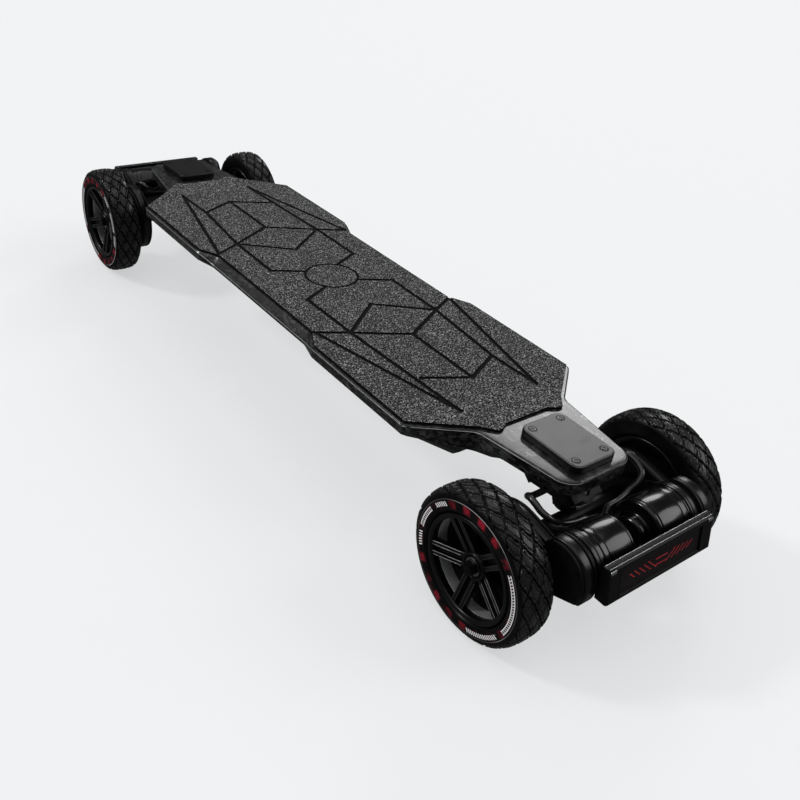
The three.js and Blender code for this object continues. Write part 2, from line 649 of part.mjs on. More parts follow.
// Gear outline with straight-sided teeth; one tooth's middle lies at the phase angle
function gearShape(teeth, phase) {
  const tip = gear.toothSize * (teeth / 2 + toothTipShare);
  const root = gear.toothSize * (teeth / 2 - toothFootShare);
  const step = 2 * Math.PI / teeth;
  const points = [];
  for (let i = 0; i < teeth; i += 1) {
    const middle = phase + i * step;
    for (const [radius, share] of [
      [root, -toothFootWidthShare], [tip, -toothTipWidthShare], [tip, toothTipWidthShare], [root, toothFootWidthShare],
    ]) {
      const angle = middle + share * step;
      points.push([radius * Math.cos(angle), radius * Math.sin(angle)]);
    }
  }
  return polygon(points);
}

function wheelGear() {
  const teeth = gearShape(gear.wheelTeeth, drive.angle);
  const inner = gearInnerX;
  const disc = extrudedX(teeth, inner, inner + gear.width).translate(0, 0, axleHeight);
  const sleeveEnd = wheel.bossInnerX - seatGap;
  const sleeve = rodX(gear.sleeveRadius, inner, sleeveEnd, 0, axleHeight, sides.boss);
  const bore = rodX(axle.radius + 2 * seatGap, inner - overrun, sleeveEnd + overrun, 0, axleHeight, sides.pin);
  return cutBy(joined(disc, sleeve), bore);
}

function gearHousing() {
  const shell = placedOnDrive(housingShape(0), housingInnerX, housingOuterX);
  const hollow = placedOnDrive(housingShape(drive.housingWall), housingInnerX - overrun,
    housingOuterX - drive.housingWall);
  const hole = rodX(gear.sleeveRadius + drive.sleeveClearance, housingInnerX, housingOuterX + overrun, 0, axleHeight,
    sides.boss);
  return cutBy(solid(shell), hollow, hole);
}

function motorCan() {
  const end = drive.mountInnerX - seatGap;
  const r = motor.radius;
  const cut = end - motor.grooveFromEnd;
  const profile = [
    [0, motor.noseX], [motor.noseRadius, motor.noseX], [motor.noseRadius, motor.innerX], [r, motor.innerX],
    [r, cut - motor.grooveWidth], [r - motor.grooveDepth, cut - motor.grooveWidth / 2], [r, cut],
    [r, end], [motor.cavityRadius, end],
    [motor.cavityRadius, motor.innerX + motor.capThickness], [0, motor.innerX + motor.capThickness],
  ];
  return turned(profile, sides.can, driveMotor.y, driveMotor.z);
}

function motorRotor() {
  const end = drive.mountInnerX - seatGap - motor.rotorEndGap;
  const start = motor.innerX + motor.capThickness + seatGap;
  const pinion = gearShape(gear.pinionTeeth, drive.angle + Math.PI + Math.PI / gear.pinionTeeth);
  const gearEnd = gearInnerX + gear.width;
  return joined(
    rodX(motor.rotorRadius, start, end, driveMotor.y, driveMotor.z, sides.can),
    rodX(motor.shaftRadius, start, gearEnd + motor.shaftPast, driveMotor.y, driveMotor.z, sides.shaft),
    extrudedX(pinion, gearInnerX, gearEnd).translate(0, driveMotor.y, driveMotor.z),
  );
}

// Wheel pieces, built for the wheel on the +X side
function tyre() {
  const w = wheel;
  const half = w.tyreWidth / 2;
  const middle = w.outerFaceX - half;
  const bead = w.rimRadius + seatGap;
  const right = [
    [bead, half - w.beadBulge], [w.bandRadius, half], [w.shoulderRadius, half - w.shoulderInset],
    [w.tyreRadius - w.crownDrop, half - w.crownInset], [w.tyreRadius, half - 2 * w.crownInset],
  ];
  const left = right.map(([r, x]) => [r, -x]).reverse();
  const ring = [...right, ...left, right[0]].map(([r, x]) => [r, middle + x]);
  return turned(ring, sides.tyre);
}

function spokeRib(angle, offset) {
  const w = wheel;
  const from = w.bossRadius - w.ribWidth;
  const to = (w.barrelRadius + w.rimRadius) / 2;
  const rings = [[from, w.ribRootX], [to, w.ribTipX]].map(([reach, x]) => [
    [x - w.ribDepth / 2, offset - w.ribWidth / 2], [x + w.ribDepth / 2, offset - w.ribWidth / 2],
    [x + w.ribDepth / 2, offset + w.ribWidth / 2], [x - w.ribDepth / 2, offset + w.ribWidth / 2],
  ].map(([px, across]) => new THREE.Vector3(px, reach, across)));
  return lofted(rings).rotateX(angle).translate(0, 0, axleHeight);
}

function wheelHub() {
  const w = wheel;
  const outer = w.outerFaceX - w.rimInset;
  const inner = w.outerFaceX - w.tyreWidth + w.rimInset;
  const rim = turned([
    [w.lipRadius, outer], [w.rimRadius, outer], [w.rimRadius, inner], [w.lipRadius, inner],
    [w.lipRadius, inner + w.lipWidth], [w.barrelRadius, inner + w.lipWidth],
    [w.barrelRadius, outer - w.lipWidth], [w.lipRadius, outer - w.lipWidth], [w.lipRadius, outer],
  ], sides.hub);
  const boss = rodX(w.bossRadius, w.bossInnerX, w.bossOuterX, 0, axleHeight, sides.boss);
  const ribs = [];
  for (let i = 0; i < w.spokeCount; i += 1) {
    const angle = w.firstSpokeAngle + i * 2 * Math.PI / w.spokeCount;
    for (const side of [-1, 1]) ribs.push(spokeRib(angle, side * w.ribSpread));
  }
  const seat = w.bossOuterX - bearing.width - seatGap;
  return cutBy(joined(rim, boss, ...ribs),
    rodX(bearing.outerRadius + seatGap, seat, w.outerFaceX + overrun, 0, axleHeight, sides.boss),
    rodX(axle.radius + overrun / 3, w.bossInnerX - overrun, w.outerFaceX, 0, axleHeight, sides.boss));
}

function wheelBearing() {
  const outer = wheel.bossOuterX;
  const inner = outer - bearing.width;
  const bore = axle.radius + seatGap;
  return turned([[bore, inner], [bearing.outerRadius, inner], [bearing.outerRadius, outer], [bore, outer],
    [bore, inner]], sides.bearing);
}

function axleNut() {
  const inner = wheel.bossOuterX + seatGap;
  const hex = rodX(nut.radius, inner, inner + nut.width, 0, axleHeight, 6);
  return cutBy(solid(hex), rodX(axle.radius + seatGap, inner - overrun, inner + nut.width + overrun, 0, axleHeight,
    sides.shaft));
}

function guardBar() {
  const g = guard;
  const innerY = driveMotor.y + motor.radius + drive.ringFlange + seatGap;
  const topY = innerY + g.topThickness;
  const bottomY = innerY + g.bottomThickness;
  const topZ = driveMotor.z + g.topRise;
  const bottomZ = driveMotor.z - g.bottomDrop;
  const shape = polygon([
    [innerY, bottomZ], [bottomY - g.chamfer, bottomZ], [bottomY, bottomZ + g.chamfer],
    [topY, topZ - g.chamfer], [topY - g.chamfer, topZ], [innerY, topZ],
  ]);
  const bar = extrudedX(shape, -g.halfLength, g.halfLength);
  const lean = (bottomY - topY) / (topZ - bottomZ - 2 * g.chamfer);
  const faceAt = (z) => topY + (topZ - g.chamfer - z) * lean;
  const low = bottomZ + g.panelMargin;
  const high = topZ - g.panelMargin;
  const panel = extrudedX(polygon([
    [faceAt(low) - g.panelDepth, low], [faceAt(low) + overrun, low],
    [faceAt(high) + overrun, high], [faceAt(high) - g.panelDepth, high],
  ]), -g.panelHalf, g.panelHalf);
  return cutBy(solid(bar), panel);
}

function motorCable() {
  const path = new THREE.CatmullRomCurve3(cableRoute.map((p) => new THREE.Vector3(...p)), false, 'centripetal');
  const section = [];
  for (let i = 0; i < sides.cable; i += 1) {
    const angle = (i / sides.cable) * 2 * Math.PI;
    section.push([cable.radius * Math.cos(angle), cable.radius * Math.sin(angle)]);
  }
  return new THREE.ExtrudeGeometry(polygon(section), { steps: cable.steps, extrudePath: path, bevelEnabled: false });
}

// One truck with its wheels and drives, at the nose or, turned round, at the tail
function truckGroup(end, leftName, rightName) {
  const group = new THREE.Group();
  group.add(piece(`${end}_baseplate`, truckBaseplate(), finish.black));
  group.add(piece(`${end}_yoke`, truckYoke(), finish.satin));
  group.add(piece(`${end}_hanger`, truckHanger(), finish.black));
  group.add(piece(`${end}_inner_kingpin`, kingpin(innerPin), finish.steel));
  group.add(piece(`${end}_outer_kingpin`, kingpin(outerPin), finish.steel));
  group.add(piece(`${end}_inner_bushing`, bushing(innerPin), finish.bush));
  group.add(piece(`${end}_outer_bushing`, bushing(outerPin), finish.bush));
  group.add(piece(`${end}_axle`, truckAxle(), finish.steel));
  group.add(piece(`${end}_guard_bar`, guardBar(), finish.satin));
  group.add(piece(`${end}_motor_cable`, motorCable(), finish.cord));
  for (const [name, place] of [[leftName, mirrored], [rightName, cleaned]]) {
    const parts = [
      ['tyre', tyre(), finish.rubber], ['hub', geometryOf(wheelHub()), finish.hub],
      ['bearing', wheelBearing(), finish.steel], ['axle_nut', geometryOf(axleNut()), finish.steel],
      ['wheel_gear', geometryOf(wheelGear()), finish.steel], ['gear_housing', geometryOf(gearHousing()), finish.satin],
      ['motor_can', motorCan(), finish.black], ['motor_rotor', geometryOf(motorRotor()), finish.steel],
    ];
    for (const [part, geometry, look] of parts) group.add(piece(`${name}_${part}`, place(geometry), look));
  }
  return group;
}

const board = new THREE.Group();
board.add(piece('deck_shell', deckShell(), finish.carbon));
board.add(piece('grip_tape', gripSheet(), finish.grip));
board.add(piece('enclosure_tub', enclosureTub(), finish.casing));
board.add(piece('battery_pack', packBox(battery, batteryY), finish.cell));
board.add(piece('motor_controller', packBox(controller, controllerY), finish.board));
board.add(piece('power_button', powerButton(), finish.accent));
board.add(piece('front_cover_plate', coverPlate(1), finish.black));
board.add(piece('rear_cover_plate', coverPlate(-1), finish.satin));

const front = truckGroup('front', 'front_left', 'front_right');
front.position.set(0, wheelbase / 2, 0);
board.add(front);

const rear = truckGroup('rear', 'rear_right', 'rear_left');
rear.rotation.z = Math.PI;
rear.position.set(0, -wheelbase / 2, 0);
board.add(rear);

export default board;
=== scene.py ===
"""Looks of an electric mountainboard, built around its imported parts.

Sizes are in metres. +Y runs along the board to its nose, +X to the rider's right, +Z up.
A truck's own frame is: across the board, outboard from its axle, and up from the ground.
"""

from __future__ import annotations

import json
import logging
import math
from dataclasses import dataclass, field
from enum import Enum
from typing import Callable, Iterable, Sequence

import bmesh
import bpy
import numpy as np
from mathutils import Matrix, Vector

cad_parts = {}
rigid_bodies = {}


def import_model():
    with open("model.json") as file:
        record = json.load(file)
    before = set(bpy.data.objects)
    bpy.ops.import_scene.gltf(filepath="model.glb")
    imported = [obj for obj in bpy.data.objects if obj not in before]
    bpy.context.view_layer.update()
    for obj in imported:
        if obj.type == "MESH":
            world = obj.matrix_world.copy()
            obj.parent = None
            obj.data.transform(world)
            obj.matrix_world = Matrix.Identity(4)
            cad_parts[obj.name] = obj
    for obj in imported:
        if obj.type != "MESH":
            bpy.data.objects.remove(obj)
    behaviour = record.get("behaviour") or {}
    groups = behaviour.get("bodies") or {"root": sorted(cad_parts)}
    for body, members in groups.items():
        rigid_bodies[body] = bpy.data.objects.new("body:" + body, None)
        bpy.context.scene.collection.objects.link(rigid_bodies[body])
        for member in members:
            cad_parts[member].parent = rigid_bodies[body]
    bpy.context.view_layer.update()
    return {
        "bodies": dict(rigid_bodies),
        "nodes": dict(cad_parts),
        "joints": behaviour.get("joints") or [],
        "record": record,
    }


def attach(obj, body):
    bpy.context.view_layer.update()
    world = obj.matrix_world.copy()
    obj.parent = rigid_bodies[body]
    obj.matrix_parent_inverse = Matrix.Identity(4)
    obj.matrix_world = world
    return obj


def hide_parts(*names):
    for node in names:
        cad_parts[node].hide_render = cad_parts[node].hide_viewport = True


LOG = logging.getLogger("mountainboard")
MM = 0.001
FULL_TURN = 2 * math.pi
WELD = 2e-6


class End(Enum):
    """The two ends of the board; the value is the sign of the end's outboard direction along Y."""

    FRONT = 1
    REAR = -1

    @property
    def word(self) -> str:
        """The end's name as the nodes spell it."""
        return self.name.lower()


class Side(Enum):
    """The two sides of the board; the value is the sign of X."""

    RIGHT = 1
    LEFT = -1

    @property
    def word(self) -> str:
        """The side's name as the nodes spell it."""
        return self.name.lower()


# Layout shared by every sub-assembly
HALF_WHEELBASE = 456 * MM
AXLE_HEIGHT = 79.61 * MM


@dataclass(frozen=True)
class Place:
    """Turns a truck's own frame into the board's frame."""

    end: End
    side: Side = Side.RIGHT

    def world(self, points: np.ndarray) -> np.ndarray:
        """Points of the truck's frame, built for the +X side, in the board's frame.

        Args:
            points: array whose last axis is across, outboard, up.

        Returns:
            The same points as x, y, z: x = side * across, y = end * (half wheelbase + outboard).
        """
        across, outboard, up = np.moveaxis(np.asarray(points, float), -1, 0)
        return np.stack(
            [self.side.value * across, self.end.value * (HALF_WHEELBASE + outboard), up], axis=-1
        )

    def local(self, points: np.ndarray) -> np.ndarray:
        """The board's points seen from the axle: across, outboard, and up from the axle."""
        x, y, z = np.moveaxis(points, -1, 0)
        return np.stack(
            [self.side.value * x, self.end.value * y - HALF_WHEELBASE, z - AXLE_HEIGHT], axis=-1
        )

    @property
    def word(self) -> str:
        """The name that the nodes of this wheel start with."""
        return f"{self.end.word}_{self.side.word}"


# Shapes


@dataclass
class Skin:
    """A closed skin: its points, and polygons that face outward."""

    points: np.ndarray
    faces: list[list[int]]

    @classmethod
    def from_rings(cls, rings: np.ndarray, loop: bool = False) -> "Skin":
        """Joins rings of equal count one to the next.

        Args:
            rings: array of shape (rings, points of a ring, 3).
            loop: joins the last ring to the first; otherwise a flat face closes each end.

        Returns:
            The closed skin.
        """
        count, size, _ = rings.shape
        row = np.arange(count if loop else count - 1)[:, None]
        column = np.arange(size)[None, :]
        after, beside = (row + 1) % count, (column + 1) % size
        quads = np.stack(
            [
                row * size + column,
                row * size + beside,
                after * size + beside,
                after * size + column,
            ],
            axis=-1,
        ).reshape(-1, 4)
        faces = quads.tolist()
        if not loop:
            faces.append(list(range(size))[::-1])
            faces.append(list(range((count - 1) * size, count * size)))
        return cls(rings.reshape(-1, 3), faces).outward()

    def outward(self) -> "Skin":
        """Turns the faces round where the enclosed volume, a sum of a . (b x c), is negative."""
        corners = [(f[0], f[i], f[i + 1]) for f in self.faces for i in range(1, len(f) - 1)]
        a, b, c = np.moveaxis(self.points[np.array(corners)], 1, 0)
        if np.einsum("ij,ij->", a, np.cross(b, c)) < 0:
            self.faces = [f[::-1] for f in self.faces]
        return self

    def moved(self, change: Callable[[np.ndarray], np.ndarray]) -> "Skin":
        """The skin with its points changed, facing outward again."""
        return Skin(change(self.points), self.faces).outward()


def rounded(corners: np.ndarray, radius: float | np.ndarray, steps: int = 3) -> np.ndarray:
    """Rounds each corner of a closed outline.

    A corner c becomes (1 - t)^2 a + 2 t (1 - t) c + t^2 b, where a and b lie the radius away
    from c on its two sides, and at most 0.45 of a side.

    Args:
        corners: array of shape (..., corners, dimensions).
        radius: one value, or one for each corner.
        steps: short sides of each round.

    Returns:
        Array of shape (..., corners * (steps + 1), dimensions).
    """
    radius = np.broadcast_to(np.asarray(radius, float), corners.shape[-2:-1])[:, None]

    def reach(way: np.ndarray) -> np.ndarray:
        """The step from a corner towards a neighbour, less than half of the way."""
        length = np.linalg.norm(way, axis=-1, keepdims=True)
        return way * np.minimum(radius / np.maximum(length, WELD), 0.45)

    start = corners + reach(np.roll(corners, 1, axis=-2) - corners)
    stop = corners + reach(np.roll(corners, -1, axis=-2) - corners)
    t = np.linspace(0, 1, steps + 1)[:, None]
    a, b, c = (x[..., None, :] for x in (start, stop, corners))
    curve = (1 - t) ** 2 * a + 2 * t * (1 - t) * c + t**2 * b
    return curve.reshape(*corners.shape[:-2], -1, corners.shape[-1])


def circle(count: int) -> np.ndarray:
    """Cosine and sine of equally spaced angles round a full turn, shape (count, 2)."""
    angle = np.arange(count) / count * FULL_TURN
    return np.stack([np.cos(angle), np.sin(angle)], axis=-1)


def hexagon(count: int) -> np.ndarray:
    """Reach of a regular hexagon at equally spaced angles a: 1 / cos(a mod 60 - 30 degrees)."""
    sixth = math.pi / 3
    angle = np.arange(count) / count * FULL_TURN
    return 1 / np.cos(np.mod(angle, sixth) - sixth / 2)


def turned(radius: np.ndarray, across: np.ndarray, count: int, outboard: float = 0.0,
           up: float = AXLE_HEIGHT) -> np.ndarray:
    """Rings about an axis across the board.

    Args:
        radius: each ring's radius, of shape (rings, 1), or its points' radii, (rings, count).
        across: each ring's place across, of shape (rings, 1).
        count: points of each ring.
        outboard, up: where the axis lies in the truck's frame.

    Returns:
        Rings with points (across, outboard + r cos a, up + r sin a).
    """
    cos, sin = circle(count).T
    return np.stack(
        [
            np.broadcast_to(across, (len(across), count)), outboard + radius * cos,
            up + radius * sin,
        ],
        axis=-1,
    )


def turned_skin(profile: Sequence, rounding: float | Sequence, count: int, loop: bool = False,
                outboard: float = 0.0, up: float = AXLE_HEIGHT, steps: int = 3) -> Skin:
    """A turned solid with rounded profile corners; an open profile starts and ends on its axis."""
    line = rounded(np.array(profile, float), np.array(rounding, float), steps)
    return Skin.from_rings(turned(line[:, :1], line[:, 1:], count, outboard, up), loop)


def stacked(outlines: Iterable[np.ndarray], levels: Iterable[float]) -> np.ndarray:
    """Rings from flat outlines (a, b), each at its own level: points (a, b, level)."""
    return np.stack(
        [np.column_stack([o, np.full(len(o), level)]) for o, level in zip(outlines, levels)]
    )


def crosswise(rings: np.ndarray) -> np.ndarray:
    """Turns (a, b, level) into a truck's frame: across = level, outboard = a, up = b."""
    return rings[..., [2, 0, 1]]


def rounded_box(half_a: float, half_b: float, corner: float, steps: int = 6) -> np.ndarray:
    """Outline of a rectangle with round corners about the origin."""
    corners = np.array([[half_a, -half_b], [half_a, half_b], [-half_a, half_b], [-half_a, -half_b]])
    return rounded(corners, corner, steps)


def slab(outline: Callable[[float], np.ndarray], low: float, high: float, edge: float,
         steps: int = 3) -> np.ndarray:
    """Rings of a plate with rounded rims.

    Args:
        outline: gives the plate's outline drawn in by a distance.
        low, high: the plate's two levels.
        edge: radius of the rims.
        steps: rings of each rim.

    Returns:
        Rings where a rim's inset is edge (1 - sin a) at edge (1 - cos a) from the face.
    """
    angle = np.linspace(0, math.pi / 2, steps + 1)
    inset = edge * (1 - np.sin(angle))
    depth = edge * (1 - np.cos(angle))
    insets = np.concatenate([inset, inset[::-1]])
    levels = np.concatenate([low + depth, high - depth[::-1]])
    return stacked([outline(i) for i in insets], levels)


def tube(path: np.ndarray, radius: float | np.ndarray, count: int = 16) -> Skin:
    """A round tube along a smooth path; ring points are p + r (cos a side + sin a over)."""
    ahead = np.gradient(path, axis=0)
    ahead /= np.linalg.norm(ahead, axis=1, keepdims=True)
    side = np.cross(ahead, np.array([0.31, 0.2, 0.93]))
    side /= np.linalg.norm(side, axis=1, keepdims=True)
    over = np.cross(side, ahead)
    turn = circle(count)
    radius = np.broadcast_to(np.asarray(radius, float), len(path))[:, None, None]
    rings = path[:, None] + radius * (
        turn[None, :, :1] * side[:, None] + turn[None, :, 1:] * over[:, None]
    )
    return Skin.from_rings(rings)


def smooth_path(points: Sequence[Sequence[float]], count: int) -> np.ndarray:
    """A centripetal curve through given points, sampled evenly along its knots.

    Between knots p1 and p2 the curve blends straight lines through p0..p3 by knot values
    t(i+1) = t(i) + sqrt(distance), as a centripetal Catmull-Rom spline does.
    """
    p = np.array(points, float)
    p = np.vstack([2 * p[0] - p[1], p, 2 * p[-1] - p[-2]])
    knots = np.concatenate([[0], np.cumsum(np.sqrt(np.linalg.norm(np.diff(p, axis=0), axis=1)))])
    t = np.linspace(knots[1], knots[-2], count)
    i = np.clip(np.searchsorted(knots, t, side="right") - 1, 1, len(p) - 3)

    def between(a: np.ndarray, b: np.ndarray, low: np.ndarray, high: np.ndarray) -> np.ndarray:
        """The straight blend of two points over a run of knot values."""
        share = ((t - low) / (high - low))[:, None]
        return (1 - share) * a + share * b

    k0, k1, k2, k3 = (knots[i + d] for d in (-1, 0, 1, 2))
    p0, p1, p2, p3 = (p[i + d] for d in (-1, 0, 1, 2))
    a1, a2, a3 = between(p0, p1, k0, k1), between(p1, p2, k1, k2), between(p2, p3, k2, k3)
    b1, b2 = between(a1, a2, k0, k2), between(a2, a3, k1, k3)
    return between(b1, b2, k1, k2)


def aimed(rings: np.ndarray, at: Sequence[float], way: Sequence[float]) -> np.ndarray:
    """Turns a shape built along +Z at the origin so that it points along a direction at a place."""
    turn = np.array(Vector((0, 0, 1)).rotation_difference(Vector(way)).to_matrix())
    return rings @ turn.T + np.array(at, float)


def socket_screw(at: Sequence[float], way: Sequence[float], radius: float, proud: float,
                 sunk: float = 1.0 * MM) -> Skin:
    """A round screw head with a hexagonal recess.

    Args:
        at: middle of the head's seat.
        way: direction in which the head stands out.
        radius: radius of the head.
        proud: height of the head over its seat.
        sunk: how far the head starts below its seat.

    Returns:
        The head as one closed skin.
    """
    count = 36
    turn = circle(count)
    recess = turn * hexagon(count)[:, None] * 0.5 * radius
    bevel = 0.18 * radius
    outlines = [
        turn * radius, turn * radius, turn * (radius - bevel * 0.4), turn * (radius - bevel),
        recess * 1.06, recess, recess * 0.9,
    ]
    levels = [-sunk, proud - bevel, proud - bevel * 0.3, proud, proud, proud - bevel * 0.5,
              proud - 0.55 * radius]
    return Skin.from_rings(aimed(stacked(outlines, levels), at, way))


# Shader graphs


class Graph:
    """The node tree of one material."""

    def __init__(self, name: str) -> None:
        """Starts an empty material.

        Args:
            name: the material's name.
        """
        self.material = bpy.data.materials.new(name)
        self.material.use_nodes = True
        self.tree = self.material.node_tree
        self.tree.nodes.clear()
        self.shader = self.tree.nodes.new("ShaderNodeBsdfPrincipled")
        output = self.tree.nodes.new("ShaderNodeOutputMaterial")
        self.tree.links.new(self.shader.outputs["BSDF"], output.inputs["Surface"])

    def node(self, kind: str, settings: dict | None = None,
             sockets: dict | None = None) -> bpy.types.Node:
        """Adds a node.

        Args:
            kind: the node's type.
            settings: its properties, set before its sockets; "stops" sets a colour ramp.
            sockets: values or links by socket name or number.

        Returns:
            The node.
        """
        made = self.tree.nodes.new(kind)
        for key, value in (settings or {}).items():
            if key == "stops":
                self._stops(made.color_ramp, value)
            else:
                setattr(made, key, value)
        for key, value in (sockets or {}).items():
            self.feed(made.inputs[key], value)
        return made

    @staticmethod
    def _stops(ramp: bpy.types.ColorRamp, stops: Sequence[tuple[float, Sequence[float]]]) -> None:
        """Sets a ramp's stops, each a place and a colour."""
        for index, (place, colour) in enumerate(stops):
            stop = ramp.elements[index] if index < 2 else ramp.elements.new(place)
            stop.position = place
            stop.color = (*colour, 1.0)

    def feed(self, socket: bpy.types.NodeSocket, value: object) -> None:
        """Links a field or a socket to a socket, or sets its value."""
        if isinstance(value, Field):
            self.tree.links.new(value.socket, socket)
        elif isinstance(value, bpy.types.NodeSocket):
            self.tree.links.new(value, socket)
        elif socket.type == "RGBA":
            socket.default_value = (*value, 1.0)
        else:
            socket.default_value = value

    def coat(self, **sockets: object) -> None:
        """Feeds the shader; base_color stands for the socket Base Color, and so on."""
        for key, value in sockets.items():
            name = key.replace("_", " ").title().replace("Ior", "IOR")
            self.feed(self.shader.inputs[name], value)

    @property
    def place(self) -> bpy.types.NodeSocket:
        """Object coordinates, which are the board's own, because every piece sits at the origin."""
        return self.node("ShaderNodeTexCoord").outputs["Object"]

    @property
    def facing(self) -> bpy.types.NodeSocket:
        """The direction that the surface faces, in the board's own directions."""
        return self.node("ShaderNodeTexCoord").outputs["Normal"]

    def attribute(self, name: str) -> bpy.types.NodeSocket:
        """A vector that the piece's mesh carries."""
        return self.node("ShaderNodeAttribute", {"attribute_name": name}).outputs["Vector"]

    def parts(self, vector: bpy.types.NodeSocket) -> tuple["Field", "Field", "Field"]:
        """The three numbers of a vector."""
        split = self.node("ShaderNodeSeparateXYZ", sockets={0: vector})
        return tuple(Field(self, split.outputs[i]) for i in range(3))

    def joined(self, *numbers: object) -> bpy.types.NodeSocket:
        """A vector from three numbers."""
        return self.node("ShaderNodeCombineXYZ", sockets=dict(enumerate(numbers))).outputs[0]

    def noise(self, where: object, scale: float, detail: float = 2.0,
              rough: float = 0.5) -> "Field":
        """Smooth noise from 0 to 1, with scale in bumps per metre."""
        made = self.node(
            "ShaderNodeTexNoise",
            sockets={"Vector": where, "Scale": scale, "Detail": detail, "Roughness": rough},
        )
        return Field(self, made.outputs[0])

    def cells(self, where: object, scale: float, output: str = "Distance",
              feature: str = "F1") -> "Field":
        """Cells of random size; the output is a distance, or a random colour's first number."""
        made = self.node(
            "ShaderNodeTexVoronoi", {"feature": feature}, {"Vector": where, "Scale": scale}
        )
        return Field(self, made.outputs[output])

    def stretched(self, vector: object, scale: Sequence[float],
                  turn: Sequence[float] = (0.0, 0.0, 0.0)) -> bpy.types.NodeSocket:
        """Coordinates scaled and turned, for a pattern that runs one way."""
        made = self.node(
            "ShaderNodeMapping", sockets={"Vector": vector, "Rotation": turn, "Scale": scale}
        )
        return made.outputs[0]

    def mix(self, share: object, low: object, high: object) -> bpy.types.NodeSocket:
        """A colour between two colours."""
        made = self.node("ShaderNodeMix", {"data_type": "RGBA"}, {0: share, 6: low, 7: high})
        return made.outputs[2]

    def bump(self, height: "Field", distance: float, strength: float = 1.0,
             under: object = None) -> bpy.types.NodeSocket:
        """A normal from a height of 0 to 1 that stands for a distance in metres."""
        sockets = {"Strength": strength, "Distance": distance, "Height": height}
        if under is not None:
            sockets["Normal"] = under
        return self.node("ShaderNodeBump", sockets=sockets).outputs[0]


@dataclass(frozen=True)
class Field:
    """A number that varies over a surface. Arithmetic on it adds Math nodes to its graph."""

    graph: Graph
    socket: bpy.types.NodeSocket

    def math(self, operation: str, *others: object) -> "Field":
        """Adds a Math node with this field first."""
        made = self.graph.node(
            "ShaderNodeMath", {"operation": operation}, dict(enumerate((self, *others)))
        )
        return Field(self.graph, made.outputs[0])

    def __add__(self, other: object) -> "Field":
        """Sum."""
        return self.math("ADD", other)

    __radd__ = __add__

    def __mul__(self, other: object) -> "Field":
        """Product."""
        return self.math("MULTIPLY", other)

    __rmul__ = __mul__

    def __sub__(self, other: object) -> "Field":
        """Difference."""
        return self.math("SUBTRACT", other)

    def __rsub__(self, other: float) -> "Field":
        """A number less this field."""
        return self.math("MULTIPLY_ADD", -1.0, other)

    def __truediv__(self, other: object) -> "Field":
        """Quotient."""
        return self.math("DIVIDE", other)

    def __abs__(self) -> "Field":
        """Size without sign."""
        return self.math("ABSOLUTE")

    def step(self, low: float, high: float) -> "Field":
        """Rises smoothly from 0 at low to 1 at high; falls where low is above high."""
        made = self.graph.node(
            "ShaderNodeMapRange", {"interpolation_type": "SMOOTHSTEP"},
            {0: self, 1: min(low, high), 2: max(low, high),
             3: 0.0 if low < high else 1.0, 4: 1.0 if low < high else 0.0},
        )
        return Field(self.graph, made.outputs[0])

    def spread(self, low: float, high: float) -> "Field":
        """Maps 0 to 1 onto low to high."""
        return self.math("MULTIPLY_ADD", high - low, low)

    def band(self, low: float, high: float, soft: float) -> "Field":
        """1 between low and high, fading over soft."""
        return self.step(low - soft, low) * self.step(high + soft, high)

    def beat(self, count: float) -> "Field":
        """The fractional part of this field times a count."""
        return (self * count).math("FRACT")


Colour = tuple[float, float, float]


@dataclass(frozen=True)
class Finish:
    """A surface finish that is made into a material once."""

    name: str

    def material(self) -> bpy.types.Material:
        """The material, made at its first use."""
        found = bpy.data.materials.get(self.name)
        if found:
            return found
        graph = Graph(self.name)
        self.paint(graph)
        return graph.material

    def paint(self, graph: Graph) -> None:
        """Fills the material's graph."""
        raise NotImplementedError


@dataclass(frozen=True)
class Coated(Finish):
    """Painted metal and moulded plastic: a fine grain with slight stains and rub marks."""

    colour: Colour = (0.012, 0.012, 0.013)
    rough: float = 0.3
    metal: float = 0.0
    grain: float = 900.0
    depth: float = 0.02 * MM
    clear: float = 0.0
    wear: float = 0.06
    shine: float = 0.3

    def paint(self, graph: Graph) -> None:
        """Grain drives bump, slow noise drives colour and roughness."""
        where = graph.place
        grain = graph.noise(where, self.grain, 3.0, 0.6)
        slow = graph.noise(where, 38.0, 4.0, 0.55)
        streaks = graph.stretched(where, (40.0, 260.0, 260.0))
        rub = graph.noise(streaks, 1.0, 5.0, 0.7).step(0.5, 0.8)
        light = tuple(min(1.0, c * 1.7 + 0.001) for c in self.colour)
        graph.coat(
            base_color=graph.mix(slow.step(0.35, 0.75) * 0.55 + rub * 0.3, self.colour, light),
            roughness=slow.spread(self.rough * 0.75, self.rough * 1.25) + rub * self.wear,
            metallic=self.metal,
            specular_ior_level=self.shine,
            coat_weight=self.clear,
            coat_roughness=0.06,
            normal=graph.bump(grain, self.depth),
        )


